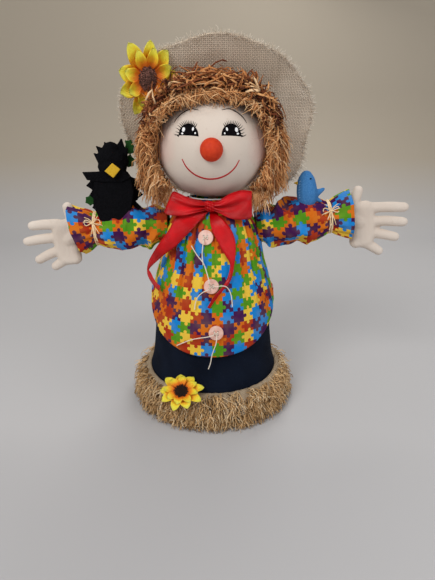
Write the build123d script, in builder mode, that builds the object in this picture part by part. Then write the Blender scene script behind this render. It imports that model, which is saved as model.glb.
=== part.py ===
"""Stuffed scarecrow doll on a weighted round foot, in millimetres.

The origin is at the centre of the foot on the surface it stands on. +Z is up and the doll faces -Y,
so its right side is -X. The head turns on the centre post and each arm swings on a wire eye.
"""
import os
from math import asin, cos, pi, radians, sin, tan

from build123d import *

os.makedirs("parts", exist_ok=True)

# ---- driving dimensions -------------------------------------------------------------------------
cloth = 1.2                 # thickness of a layer of cloth
layer_gap = 0.3             # between one soft layer and the next
moving_gap = 0.5            # between soft pieces that move past each other
running_gap = 0.08          # radial, between a wire or the post and what turns on it
press_gap = 0.02            # radial, where a rod is pushed into a hole

# foot
board_radius = 84.0
board_thickness = 5.0
bag_radius = 62.0
bag_height = 38.0
ruffle_radius = 106.0
ruffle_height = 36.0
ruffle_edge_height = 16.0
fringe_radius = 112.5
fringe_height = 13.0

# body cloth, as (height, outside radius)
trouser_outline = ((5.3, 86.0), (22.0, 89.0), (60.0, 83.5), (100.0, 79.0), (140.0, 77.5))
shirt_outline = ((90.0, 86.2), (126.0, 85.0), (155.0, 79.5), (180.0, 73.5), (200.0, 67.5),
                 (230.0, 61.5), (249.0, 53.0), (261.0, 41.0), (268.0, 26.0))
hem_front_height = 93.0
hem_side_height = 138.0
neck_radius = 20.0
neck_top = 274.6
post_radius = 5.0
post_top = 352.0
collar_height = 6.0
collar_thickness = 1.6

# arms
shoulder_x = 68.0
shoulder_height = 238.0
shoulder_ball = 24.0
socket_room = 6.0           # lets the sleeve gather as the arm comes down
right_tilt = -3.0           # degrees above level
left_tilt = 8.0
sleeve_outline = ((25.0, 25.0), (55.0, 24.5), (81.0, 20.5), (94.0, 25.5), (107.0, 30.0))
tie_distance = 81.0
tie_width = 3.0
tie_thickness = 1.8
wrist_outline = ((72.0, 17.0), (83.0, 17.0), (100.0, 12.0), (122.0, 12.0))
wire_radius = 1.5
wire_offset = 6.0           # the arm wire runs beside the eye that it hooks through
wire_length = 104.0
wire_bend = 3.2
eye_room = 8.0
wire_slot_angle = 55.0      # degrees either side, for the shoulder wire as the arm swings

# hands: (distance along the arm, height above the arm's axis)
palm_centre = (124.0, -14.0)
palm_length = 36.0
palm_height = 62.0
palm_thickness = 17.0
finger_radius = 6.2
right_fingers = (((132.0, 8.0), (164.0, 8.0)), ((132.0, -9.0), (174.0, -12.0)),
                 ((130.0, -24.0), (163.0, -37.0)), ((124.0, -38.0), (143.0, -47.0)),
                 ((112.0, 8.0), (115.0, 30.0)))
left_fingers = (((132.0, 4.0), (177.0, -1.0)), ((132.0, -13.0), (176.0, -20.0)),
                ((130.0, -27.0), (165.0, -38.0)), ((122.0, -38.0), (144.0, -54.0)),
                ((113.0, 8.0), (120.0, 28.0)))

# head
head_height = 335.0
head_radius = 67.5
head_half_height = 60.5
head_steps = 12             # points that set the egg's curve
nose_radius = 12.5
nose_reach = 66.0
nose_height = 333.4
hair_inner = (62.0, 47.0)   # half width and half height of the face opening
hair_outer = (86.0, 74.0)
hair_front = 42.0
hair_lock_front = 28.0
hair_lock_back = 14.0
hair_split = 362.0
hair_low = 270.0
hair_lock_inner = 57.0

# hat: the brim leans over the forehead and hangs down behind
brim_top = (-41.0, 448.0)   # (y, height)
brim_bend = (27.0, 354.0)
brim_low = (50.0, 266.0)
brim_bend_radius = 60.0
brim_centre_x = 5.0
brim_half_width = 119.0
brim_thickness = 2.0
crown_centre = (6.5, 339.7)
crown_radius = 74.0

# artificial sunflowers
petal_thickness = 1.4
petal_count = 9
petal_hub = 0.35            # part of the petal's length that lies under the centre
hat_flower_place = Plane(origin=(-71, -20.5, 408), x_dir=(1, 0, 0), z_dir=(0, -0.81, -0.586))
hat_flower_radius = 35.0
hat_flower_centre = 14.5
foot_flower_place = Plane(origin=(-38, -97, 47), x_dir=(1, 0, 0), z_dir=(-0.05, -0.62, 0.78))
foot_flower_radius = 27.0
foot_flower_centre = 10.5
flower_centre_height = 5.0
flower_room = 14.0          # kept clear of hair, either side of the hat's flower

# birds
crow_front = 22.0
crow_thickness = 14.0
felt = 1.6
crow_head = (-120.0, 319.0, 16.0)       # x, height, radius
crow_outline = ((-134.0, 308.0), (-105.0, 308.0), (-97.0, 284.0), (-101.0, 245.0), (-140.0, 245.0),
                (-145.0, 284.0))
crow_wing_outline = ((-156.0, 307.0), (-133.0, 309.0), (-104.0, 309.0), (-93.0, 287.0), (-99.0, 282.0),
                     (-92.0, 277.0), (-98.0, 270.0), (-98.0, 260.0), (-142.0, 260.0), (-147.0, 270.0),
                     (-158.0, 283.0), (-151.0, 293.0))
crow_beak_centre = (-116.5, 308.5)
crow_beak_width = 17.0
leaf_places = ((-101.5, 335.0, 6.5), (-100.5, 317.0, 6.0), (-151.0, 272.0, 8.5))
bluebird_foot = (117.0, -9.0, 262.0)
bluebird_outline = ((0.0, 9.0), (14.0, 13.5), (30.0, 11.0), (41.0, 6.0))    # (height, radius)
bluebird_length = 46.0
bluebird_wing_outline = ((127.0, 290.0), (139.0, 284.5), (133.0, 279.0), (137.0, 271.0), (127.0, 268.0))
bluebird_tail_outline = ((124.0, 274.0), (138.0, 268.0), (135.0, 262.0), (124.0, 264.0))
bluebird_beak_place = (103.8, 292.0)
bluebird_beak_width = 6.5

# ribbon bow, outlines as (x, height)
ribbon = 1.2
bow_front = 51.0
bow_back = 40.0
neck_ribbon_radius = 34.0
neck_ribbon_height = 9.0
knot_size = (17.0, 12.5, 15.0)
knot_centre = (-2.0, -43.2, 268.5)
right_loop = ((-10.6, 275.0), (-26.0, 280.0), (-42.0, 286.0), (-51.0, 272.0), (-50.0, 260.0),
              (-30.0, 260.0), (-10.6, 263.0))
left_loop = ((6.6, 275.0), (24.0, 284.0), (41.0, 287.0), (46.0, 273.0), (47.0, 258.0), (24.0, 257.0),
             (6.6, 263.0))
tail_curve = 24.0           # the tails hang on a wider curve than the shirt, from this far behind
tail_gap = 1.0
right_tail = ((-4.0, 259.0), (-38.0, 259.0), (-50.0, 243.0), (-65.0, 222.0), (-78.0, 200.0),
              (-82.0, 188.0), (-80.0, 179.0), (-66.0, 168.0), (-63.0, 175.0), (-72.0, 185.0),
              (-56.0, 213.0), (-44.0, 223.0), (-27.0, 241.0))
left_tail = ((-1.0, 259.0), (9.0, 259.0), (23.0, 243.0), (29.0, 228.0), (26.5, 204.0), (22.0, 187.0),
             (10.0, 172.0), (-1.0, 156.0), (-5.0, 158.0), (6.0, 174.0), (17.0, 187.0), (21.5, 204.0),
             (17.0, 218.0), (6.0, 234.0))

# buttons on the shirt front, as (x, height), and the uncut ends of the thread that sews them on
button_radius = 8.8
button_thickness = 3.0
button_gap = 0.4
button_hole_radius = 0.9
button_hole_spacing = 4.4
button_places = {"top": (-7.0, 235.5), "middle": (-0.6, 180.4), "bottom": (4.7, 126.0)}
thread_diameter = 1.2
thread_routes = {
    1: ((-9.0, -62.4, 233.9), (-9.4, -66.0, 234.8), (-9.7, -69.2, 232.8), (-10.8, -70.6, 225.5),
        (-11.4, -71.5, 216.5), (-10.0, -73.5, 206.5)),
    2: ((-2.5, -75.7, 183.6), (-2.6, -79.3, 184.5), (-2.9, -81.2, 187.8), (-4.5, -79.0, 194.2),
        (-7.0, -73.5, 201.0), (-9.5, -70.0, 208.0), (-16.5, -66.0, 215.0), (-20.5, -63.7, 221.0),
        (-24.0, -61.0, 226.5)),
    3: ((1.8, -76.2, 181.5), (1.9, -79.8, 182.4), (4.6, -82.4, 183.0), (11.5, -82.0, 184.3),
        (17.0, -79.0, 182.3), (21.5, -77.5, 175.5), (23.5, -79.0, 166.5), (24.0, -80.7, 157.5)),
    4: ((-2.6, -76.8, 178.9), (-2.7, -80.3, 179.7), (-5.1, -83.2, 179.2), (-11.5, -83.5, 176.3),
        (-17.0, -80.0, 169.5), (-20.0, -79.0, 161.5), (-20.6, -80.3, 154.0)),
    5: ((2.7, -87.7, 126.0), (2.8, -91.3, 126.5), (0.3, -94.1, 126.0), (-6.5, -94.2, 124.2),
        (-16.0, -90.5, 121.3), (-26.5, -85.5, 116.5), (-35.5, -81.5, 110.5), (-43.5, -77.5, 105.0)),
    6: ((5.3, -88.1, 124.0), (5.5, -91.7, 124.5), (5.6, -94.7, 122.1), (4.6, -95.2, 115.0),
        (1.8, -93.0, 106.5), (-0.8, -91.0, 96.5), (-1.8, -90.0, 87.0), (-4.6, -89.3, 79.0)),
}

FAR = 200.0                 # past everything, for cuts that go right through
shirt_curve = Edge.make_spline([Vector(radius, height) for height, radius in shirt_outline])


# ---- shared shapes ------------------------------------------------------------------------------
def save(part, name):
    """Label a finished piece and write it as its own file."""
    part.label = name
    export_step(part, f"parts/{name}.step")


def turned(outline, grow=0.0, centre_y=0.0):
    """The solid turned about a vertical axis through (height, radius) points."""
    first, last = outline[0], outline[-1]
    place = Plane(origin=(0, centre_y, 0), x_dir=(1, 0, 0), z_dir=(0, -1, 0))
    with BuildPart() as solid:
        with BuildSketch(place):
            with BuildLine():
                Spline(*[(radius + grow, height) for height, radius in outline])
                Polyline((last[1] + grow, last[0]), (0, last[0]), (0, first[0]), (first[1] + grow, first[0]))
            make_face()
        revolve(axis=Axis((0, centre_y, 0), (0, 0, 1)))
    return solid.part


def head_shape(grow=0.0):
    """The head's egg, larger all over by grow, with its underside flat above the neck."""
    wide = head_radius + grow
    tall = head_half_height + grow
    underside = neck_top + moving_gap - grow
    first = -asin((head_height - underside) / tall)
    angles = [first + (pi / 2 - first) * step / head_steps for step in range(head_steps)]
    rim = [(wide * cos(angle), head_height + tall * sin(angle)) for angle in angles]
    crest = (0, head_height + tall)
    with BuildPart() as egg:
        with BuildSketch(Plane.XZ):
            with BuildLine():
                Spline(*rim, crest, tangents=((-wide * sin(first), tall * cos(first)), (-1, 0)))
                Polyline(crest, (0, underside), rim[0])
            make_face()
        revolve(axis=Axis.Z)
    return egg.part


def ball(centre, radius):
    """A plain sphere, made outside any open part."""
    return Pos(*centre) * Sphere(radius, mode=Mode.PRIVATE)


def outline_plate(points, back, front, corner=0.0):
    """A flat plate with the given (x, height) outline, between two distances in front of the post."""
    with BuildPart() as plate:
        with BuildSketch(Plane.XZ.offset(back)) as face:
            with BuildLine():
                Polyline(*points, close=True)
            make_face()
            if corner:
                fillet(face.vertices(), corner)
        extrude(amount=front - back)
    return plate.part


# ---- foot and body ------------------------------------------------------------------------------
def build_foot():
    """Weighted foot: board, sand bag, post, burlap ruffle and its frayed edge."""
    with BuildPart() as base_board:
        Cylinder(board_radius, board_thickness, align=(Align.CENTER, Align.CENTER, Align.MIN))
        Hole(post_radius + press_gap)
        chamfer(base_board.edges().filter_by(GeomType.CIRCLE).sort_by(SortBy.RADIUS)[-2:], 0.8)
    save(base_board.part, "base_board")

    bag_bottom = board_thickness + layer_gap
    with BuildPart() as weight_bag:
        with BuildSketch(Plane.XY.offset(bag_bottom)):
            Circle(bag_radius)
            Circle(post_radius + layer_gap, mode=Mode.SUBTRACT)
        extrude(amount=bag_height)
        fillet(weight_bag.edges().filter_by(GeomType.CIRCLE).sort_by(SortBy.RADIUS)[-2:], 10)
    save(weight_bag.part, "weight_bag")

    with BuildPart() as centre_post:
        with BuildSketch(Plane.XY):
            Circle(post_radius)
        extrude(amount=post_top)
        add(wire_hole(press_gap), mode=Mode.SUBTRACT)
    save(centre_post.part, "centre_post")

    with BuildPart() as base_ruffle:
        with BuildSketch(Plane.XZ):
            Polygon((0, 0), (ruffle_radius, 0), (ruffle_radius, ruffle_edge_height),
                    (trouser_outline[1][1] + 6, ruffle_height), (0, ruffle_height), align=None)
        revolve(axis=Axis.Z)
        add(turned(trouser_outline, layer_gap), mode=Mode.SUBTRACT)
        with BuildSketch(Plane.XY):
            Circle(max(board_radius, trouser_outline[0][1]) + layer_gap)
        extrude(amount=trouser_outline[0][0], mode=Mode.SUBTRACT)
    save(base_ruffle.part, "base_ruffle")

    with BuildPart() as base_fringe:
        with BuildSketch(Plane.XY):
            Circle(fringe_radius)
            Circle(ruffle_radius + layer_gap, mode=Mode.SUBTRACT)
        extrude(amount=fringe_height)
    save(base_fringe.part, "base_fringe")


def wire_hole(gap):
    """The straight hole across the body for the shoulder wire."""
    return Pos(0, 0, shoulder_height) * Rot(0, 90, 0) * Cylinder(wire_radius + gap, 2 * FAR, mode=Mode.PRIVATE)


def cut_sockets():
    """Take the two shoulder sockets out of the part that is open."""
    for side in (-1, 1):
        add(ball((side * shoulder_x, 0, shoulder_height), shoulder_ball + socket_room), mode=Mode.SUBTRACT)


def build_body():
    """Stuffing, trouser cloth and shirt, one over the other."""
    inside = -(cloth + layer_gap)
    trouser_top = trouser_outline[-1][0]
    with BuildPart() as body_stuffing:
        add(turned(trouser_outline, inside))
        with BuildPart(mode=Mode.PRIVATE) as chest:
            add(turned(shirt_outline, inside))
            split(bisect_by=Plane.XY.offset(trouser_top), keep=Keep.TOP)
        add(chest.part)
        with BuildSketch(Plane.XY.offset(shoulder_height)):
            Circle(neck_radius)
        extrude(amount=neck_top - shoulder_height)
        with BuildSketch(Plane.XY):
            Circle(bag_radius + layer_gap)
        extrude(amount=board_thickness + bag_height + 2 * layer_gap, mode=Mode.SUBTRACT)
        with BuildSketch(Plane.XY):
            Circle(post_radius + layer_gap)
        extrude(amount=FAR * 2, mode=Mode.SUBTRACT)
        add(wire_hole(layer_gap), mode=Mode.SUBTRACT)
        cut_sockets()
    save(body_stuffing.part, "body_stuffing")

    with BuildPart() as navy_trousers:
        add(turned(trouser_outline))
        add(turned(trouser_outline, -cloth), mode=Mode.SUBTRACT)
    save(navy_trousers.part, "navy_trousers")

    with BuildPart() as shirt_body:
        add(turned(shirt_outline))
        add(turned(shirt_outline, -cloth), mode=Mode.SUBTRACT)
        with BuildSketch(Plane.XZ):
            with BuildLine():
                ThreePointArc((-board_radius - 4, hem_side_height), (0, hem_front_height),
                              (board_radius + 4, hem_side_height))
                Polyline((board_radius + 4, hem_side_height), (board_radius + 4, 0),
                         (-board_radius - 4, 0), (-board_radius - 4, hem_side_height))
            make_face()
        extrude(amount=FAR, both=True, mode=Mode.SUBTRACT)
        cut_sockets()
    save(shirt_body.part, "shirt_body")

    with BuildPart() as shirt_collar:
        with BuildSketch(Plane.XY.offset(shirt_outline[-1][0])):
            Circle(neck_radius + layer_gap + collar_thickness)
            Circle(neck_radius + layer_gap, mode=Mode.SUBTRACT)
        extrude(amount=collar_height)
    save(shirt_collar.part, "shirt_collar")


def shirt_radius(height):
    """The shirt's outside radius at a height, found on its turned outline."""
    low, high = 0.0, 1.0
    while high - low > 1e-6:
        middle = (low + high) / 2
        if (shirt_curve @ middle).Y < height:
            low = middle
        else:
            high = middle
    return (shirt_curve @ low).X


def button_plane(x, height):
    """The plane that a button's back lies in, facing out from the shirt."""
    step = 5.0
    lean = (shirt_radius(height - step) - shirt_radius(height + step)) / (2 * step)
    radius = shirt_radius(height)
    y = -((radius ** 2 - x ** 2) ** 0.5)
    outward = Vector(x / radius, y / radius, lean).normalized()
    return Plane(origin=Vector(x, y, height) + outward * button_gap, x_dir=(1, 0, 0), z_dir=outward)


def build_buttons():
    """Three four-hole buttons and the six thread tails left on them."""
    for name, (x, height) in button_places.items():
        with BuildPart() as button:
            with BuildSketch(button_plane(x, height)):
                Circle(button_radius)
                with GridLocations(button_hole_spacing, button_hole_spacing, 2, 2):
                    Circle(button_hole_radius, mode=Mode.SUBTRACT)
            extrude(amount=button_thickness)
            outer = button.edges().filter_by(GeomType.CIRCLE).group_by(SortBy.RADIUS)[-1]
            fillet(outer, 0.7)
        save(button.part, f"shirt_button_{name}")

    for number, route in thread_routes.items():
        save(cord(route, thread_diameter, f"thread {number}"), f"button_thread_{number}")


def cord(route, diameter, name):
    """A cord of straight runs joined by arcs as large as the two runs allow."""
    points = [Vector(*point) for point in route]
    radii = []
    for before, corner, after in zip(points, points[1:], points[2:]):
        turn = (corner - before).get_angle(after - corner)
        shorter = min((corner - before).length, (after - corner).length)
        radii.append(0.45 * shorter / tan(radians(turn) / 2))
    with BuildPart() as tube:
        with BuildLine() as path:
            FilletPolyline(*points, radius=radii)
        with BuildSketch(Plane(origin=path.line @ 0, z_dir=path.line % 0)):
            Circle(diameter / 2)
        sweep(path=path.line)
    length = path.wires()[0].length
    expected = pi * (diameter / 2) ** 2 * length
    print(f"{name}: length {length:.1f}, volume over section times length "
          f"{tube.part.volume / expected:.4f}, radii " + " ".join(f"{radius:.1f}" for radius in radii))
    return tube.part


def build_bow():
    """Satin ribbon round the neck, tied in a bow with two hanging tails."""
    ribbon_bottom = shirt_outline[-1][0] - 3
    with BuildPart() as neck_ribbon:
        with BuildSketch(Plane.XY.offset(ribbon_bottom)):
            Circle(neck_ribbon_radius + ribbon)
            Circle(neck_ribbon_radius, mode=Mode.SUBTRACT)
        extrude(amount=neck_ribbon_height)
        add(turned(shirt_outline, layer_gap), mode=Mode.SUBTRACT)
    save(neck_ribbon.part, "neck_ribbon")

    with BuildPart() as bow_knot:
        with Locations(knot_centre):
            Box(*knot_size)
        fillet(bow_knot.edges().filter_by(Axis.Y), 4)
        fillet(bow_knot.faces().sort_by(Axis.Y)[0].edges(), 2.5)
        add(turned(shirt_outline, layer_gap), mode=Mode.SUBTRACT)
    save(bow_knot.part, "bow_knot")

    save(outline_plate(right_loop, bow_back, bow_front, 2.5), "bow_loop_right")
    save(outline_plate(left_loop, bow_back, bow_front, 2.5), "bow_loop_left")

    reach = tail_curve + tail_gap
    for name, outline in (("right", right_tail), ("left", left_tail)):
        with BuildPart() as bow_tail:
            add(turned(shirt_outline, reach + ribbon, tail_curve))
            add(turned(shirt_outline, reach, tail_curve), mode=Mode.SUBTRACT)
            add(outline_plate(outline, 0, FAR), mode=Mode.INTERSECT)
        save(bow_tail.part, f"bow_tail_{name}")


def build_shoulder_wire():
    """The wire across the body, with an eye at each shoulder."""
    eye_radius = 2 * wire_radius + running_gap
    with BuildPart() as shoulder_wire:
        with Locations(Location((0, 0, shoulder_height), (0, 90, 0))):
            Cylinder(wire_radius, 2 * (shoulder_x - eye_radius))
        with Locations(*[Location((side * shoulder_x, 0, shoulder_height), (90, 0, 0)) for side in (-1, 1)]):
            Torus(eye_radius, wire_radius)
    save(shoulder_wire.part, "shoulder_wire")


# ---- arms ---------------------------------------------------------------------------------------
def arm_plane(side, tilt):
    """Plane through the arm's axis: local x along the arm from the shoulder, local y upwards."""
    lean = radians(tilt)
    return Plane(origin=(side * shoulder_x, 0, shoulder_height), x_dir=(side * cos(lean), 0, sin(lean)),
                 z_dir=(0, -side, 0))


def arm_solid(place, outline, grow=0.0):
    """The solid turned about the arm's axis: a ball at the shoulder, then (distance, radius) points."""
    radius = shoulder_ball + grow
    end, end_radius = outline[-1]
    with BuildPart() as solid:
        with BuildSketch(place):
            with BuildLine():
                ThreePointArc((-radius, 0), (-radius * cos(radians(45)), radius * sin(radians(45))), (0, radius))
                Spline((0, radius), *[(distance, wide + grow) for distance, wide in outline])
                Polyline((end, end_radius + grow), (end, 0), (-radius, 0))
            make_face()
        revolve(axis=Axis(place.origin, place.x_dir))
    return solid.part


def wire_slot(place):
    """The slot in the shoulder ball that the shoulder wire swings in."""
    half = wire_radius + layer_gap + moving_gap
    reach = shoulder_ball + socket_room
    with BuildPart() as slot:
        with BuildSketch(place):
            with BuildLine():
                ThreePointArc((-reach * cos(radians(wire_slot_angle)), reach * sin(radians(wire_slot_angle))),
                              (-reach, 0),
                              (-reach * cos(radians(wire_slot_angle)), -reach * sin(radians(wire_slot_angle))))
                Polyline((-reach * cos(radians(wire_slot_angle)), -reach * sin(radians(wire_slot_angle))),
                         (0, 0), (-reach * cos(radians(wire_slot_angle)), reach * sin(radians(wire_slot_angle))))
            make_face()
        extrude(amount=half, both=True)
    return slot.part


def finger(place, knuckle, tip):
    """A round-ended finger between two points of the arm's plane."""
    start = place.from_local_coords((knuckle[0], knuckle[1], 0))
    end = place.from_local_coords((tip[0], tip[1], 0))
    length = (end - start).length
    with BuildPart() as round_bar:
        with BuildSketch(Plane(origin=start, x_dir=end - start, z_dir=place.z_dir)):
            with BuildLine():
                Line((0, 0), (0, finger_radius))
                Line((0, finger_radius), (length - finger_radius, finger_radius))
                RadiusArc((length - finger_radius, finger_radius), (length, 0), finger_radius)
                Line((length, 0), (0, 0))
            make_face()
        revolve(axis=Axis(start, end - start))
        with Locations(start):
            Sphere(finger_radius)
    return round_bar.part


def build_arm(name, side, tilt, fingers):
    """One arm: sleeve, stuffed arm with its hand, wire and the raffia tied round the wrist."""
    place = arm_plane(side, tilt)
    inside = -(cloth + layer_gap)
    slot = wire_slot(place)

    with BuildPart() as sleeve:
        add(arm_solid(place, sleeve_outline))
        add(arm_solid(place, sleeve_outline, -cloth), mode=Mode.SUBTRACT)
        add(slot, mode=Mode.SUBTRACT)
    save(sleeve.part, f"{name}_sleeve")

    tie_inner = dict(sleeve_outline)[tie_distance]
    with BuildPart() as arm:
        add(arm_solid(place, sleeve_outline, inside))
        tie_end = place.from_local_coords((tie_distance, 0, 0))
        split(bisect_by=Plane(origin=tie_end, z_dir=place.x_dir), keep=Keep.BOTTOM)
        with BuildSketch(place):
            Polygon((wrist_outline[0][0], 0), *wrist_outline, (wrist_outline[-1][0], 0), align=None)
        revolve(axis=Axis(place.origin, place.x_dir))
        for knuckle, tip in fingers:
            add(finger(place, knuckle, tip))
        with BuildPart(mode=Mode.PRIVATE) as palm:
            with BuildSketch(place):
                with Locations(palm_centre):
                    Ellipse(palm_length / 2, palm_height / 2)
            extrude(amount=palm_thickness / 2, both=True)
            fillet(palm.edges(), 5)
        add(palm.part)
        add(slot, mode=Mode.SUBTRACT)
        with BuildSketch(place):
            Circle(eye_room)
        extrude(amount=wire_offset + 2 * wire_radius + wire_bend, both=True, mode=Mode.SUBTRACT)
        channel_start = place.from_local_coords((0, 0, wire_offset))
        with BuildSketch(Plane(origin=channel_start, z_dir=place.x_dir)):
            Circle(wire_radius + layer_gap)
        extrude(amount=wire_length + layer_gap, mode=Mode.SUBTRACT)
    save(arm.part, f"{name}_arm_and_hand")

    with BuildPart() as arm_wire:
        with BuildLine() as path:
            FilletPolyline(*[place.from_local_coords(point) for point in
                             ((0, 0, -wire_offset), (0, 0, wire_offset), (wire_length, 0, wire_offset))],
                           radius=wire_bend)
        with BuildSketch(Plane(origin=path.line @ 0, z_dir=path.line % 0)):
            Circle(wire_radius)
        sweep(path=path.line)
    save(arm_wire.part, f"{name}_arm_wire")

    tie_plane = Plane(origin=place.from_local_coords((tie_distance - tie_width / 2, 0, 0)), z_dir=place.x_dir)
    with BuildPart() as wrist_tie:
        with BuildSketch(tie_plane):
            Circle(tie_inner + tie_thickness)
        extrude(amount=tie_width)
        add(arm_solid(place, sleeve_outline, layer_gap), mode=Mode.SUBTRACT)
    save(wrist_tie.part, f"{name}_wrist_tie")
    return arm_solid(place, sleeve_outline, layer_gap)


def build_crow(sleeve_room):
    """Felt crow on the right sleeve, with its wing felt and leaves behind it."""
    crow_back = crow_front - crow_thickness
    with BuildPart() as crow_body:
        add(outline_plate(crow_outline, crow_back, crow_front, 4))
        with BuildSketch(Plane.XZ.offset(crow_back)):
            with Locations(crow_head[:2]):
                Circle(crow_head[2])
        extrude(amount=crow_thickness)
        add(sleeve_room, mode=Mode.SUBTRACT)
    save(crow_body.part, "crow_body")

    wing_back = crow_back - felt
    with BuildPart() as crow_wings:
        add(outline_plate(crow_wing_outline, wing_back, crow_back))
        add(sleeve_room, mode=Mode.SUBTRACT)
    save(crow_wings.part, "crow_wings")

    with BuildPart() as crow_beak:
        with BuildSketch(Plane.XZ.offset(crow_front)):
            with Locations(crow_beak_centre):
                Rectangle(crow_beak_width / 2 ** 0.5, crow_beak_width / 2 ** 0.5, rotation=45)
        extrude(amount=felt)
    save(crow_beak.part, "crow_beak")

    with BuildPart() as crow_leaves:
        for x, height, radius in leaf_places:
            with BuildSketch(Plane.XZ.offset(wing_back - felt)):
                with Locations((x, height)):
                    Circle(radius)
            extrude(amount=felt)
    save(crow_leaves.part, "crow_leaves")


def build_bluebird(sleeve_room):
    """Small felt bird on the left sleeve."""
    foot = Vector(*bluebird_foot)
    with BuildPart() as bluebird_body:
        with BuildSketch(Plane(origin=foot, x_dir=(1, 0, 0), z_dir=(0, -1, 0))):
            with BuildLine():
                Spline(*[(radius, height) for height, radius in bluebird_outline], (0, bluebird_length))
                Polyline((0, bluebird_length), (0, 0), (bluebird_outline[0][1], 0))
            make_face()
        revolve(axis=Axis(foot, (0, 0, 1)))
        add(sleeve_room, mode=Mode.SUBTRACT)
    save(bluebird_body.part, "bluebird_body")

    middle = -bluebird_foot[1]
    for name, outline, back in (("wing", bluebird_wing_outline, middle), ("tail", bluebird_tail_outline,
                                                                         middle - 2 * felt)):
        with BuildPart() as flap:
            add(outline_plate(outline, back, back + felt))
            add(bluebird_body.part, mode=Mode.SUBTRACT)
            add(sleeve_room, mode=Mode.SUBTRACT)
        biggest = flap.part.solids().sort_by(SortBy.VOLUME)[-1]
        save(Part([biggest]), f"bluebird_{name}")

    with BuildPart() as bluebird_beak:
        with BuildSketch(Plane.XZ.offset(middle - bluebird_beak_width / 4)):
            with Locations(bluebird_beak_place):
                RegularPolygon(bluebird_beak_width / 2, 4)
        extrude(amount=bluebird_beak_width / 2)
        add(bluebird_body.part, mode=Mode.SUBTRACT)
    save(bluebird_beak.part, "bluebird_beak")


# ---- head, hair and hat -------------------------------------------------------------------------
def behind_brim(forward=0.0):
    """Everything behind the middle of the brim, or behind a surface that far in front of it."""
    bend = Vector(brim_bend[0] - forward, brim_bend[1])
    past_end = 1.1
    top = bend + (Vector(*brim_top) - Vector(*brim_bend)) * past_end
    low = bend + (Vector(*brim_low) - Vector(*brim_bend)) * past_end
    with BuildPart() as region:
        with BuildSketch(Plane.YZ):
            with BuildLine():
                FilletPolyline(top, bend, low, radius=brim_bend_radius)
                Polyline(low, (FAR, low.Y), (FAR, top.Y), top)
            make_face()
        extrude(amount=FAR, both=True)
    return region.part


def build_head():
    """Calico skin over stuffing that turns on the post, with the wooden nose."""
    with BuildPart() as head_stuffing:
        add(head_shape(-cloth))
        with BuildSketch(Plane.XY):
            Circle(post_radius + running_gap)
        extrude(amount=post_top + layer_gap, mode=Mode.SUBTRACT)
    save(head_stuffing.part, "head_stuffing")

    with BuildPart() as head_skin:
        add(head_shape())
        add(head_shape(-cloth + press_gap), mode=Mode.SUBTRACT)
        with BuildSketch(Plane.XY):
            Circle(post_radius + moving_gap)
        extrude(amount=head_height, mode=Mode.SUBTRACT)
    save(head_skin.part, "head_skin")

    with BuildPart() as nose:
        with Locations((0, -nose_reach, nose_height)):
            Sphere(nose_radius)
        add(head_shape(press_gap), mode=Mode.SUBTRACT)
    save(nose.part, "nose")


def hair_ring(front, back):
    """The ring of hair round the face, between two distances in front of the post."""
    with BuildPart() as ring:
        with BuildSketch(Plane.XZ.offset(back)):
            with Locations((0, head_height)):
                Ellipse(*hair_outer)
                Ellipse(*hair_inner, mode=Mode.SUBTRACT)
        extrude(amount=front - back)
        add(head_shape(press_gap), mode=Mode.SUBTRACT)
        add(behind_brim(brim_thickness), mode=Mode.SUBTRACT)
        with BuildSketch(hat_flower_place.offset(-flower_room)):
            Circle(hat_flower_radius + layer_gap)
        extrude(amount=2 * flower_room, mode=Mode.SUBTRACT)
    return ring.part


def build_hair():
    """A fringe over the forehead and a lock down each cheek."""
    with BuildPart() as hair_fringe:
        add(hair_ring(hair_front, -hair_lock_back))
        split(bisect_by=Plane.XY.offset(hair_split), keep=Keep.TOP)
    save(hair_fringe.part, "hair_fringe")

    for name, side, keep in (("right", -1, Keep.BOTTOM), ("left", 1, Keep.TOP)):
        with BuildPart() as lock:
            add(hair_ring(hair_lock_front, -hair_lock_back))
            split(bisect_by=Plane.YZ.offset(side * hair_lock_inner), keep=keep)
            split(bisect_by=Plane.XY.offset(hair_split - layer_gap), keep=Keep.BOTTOM)
            split(bisect_by=Plane.XY.offset(hair_low), keep=Keep.TOP)
        biggest = lock.part.solids().sort_by(SortBy.VOLUME)[-1]
        save(Part([biggest]), f"hair_{name}")


def build_hat():
    """Burlap hat: a floppy brim round a round crown."""
    crown_ball = ball((0, crown_centre[0], crown_centre[1]), crown_radius)
    with BuildPart() as hat_brim:
        with BuildSketch(Plane.YZ):
            with BuildLine():
                FilletPolyline(brim_top, brim_bend, brim_low, radius=brim_bend_radius)
            trace(line_width=brim_thickness)
        extrude(amount=FAR, both=True)
        half_height = (brim_top[1] - brim_low[1]) / 2
        with BuildPart(mode=Mode.PRIVATE) as disc:
            with BuildSketch(Plane.XZ):
                with Locations((brim_centre_x, brim_low[1] + half_height)):
                    Ellipse(brim_half_width, half_height)
            extrude(amount=FAR, both=True)
        add(disc.part, mode=Mode.INTERSECT)
        add(crown_ball, mode=Mode.SUBTRACT)
    save(hat_brim.part, "hat_brim")

    with BuildPart() as hat_crown:
        add(crown_ball)
        add(ball((0, crown_centre[0], crown_centre[1]), crown_radius - brim_thickness), mode=Mode.SUBTRACT)
        add(behind_brim(), mode=Mode.INTERSECT)
    save(hat_crown.part, "hat_crown")


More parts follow.
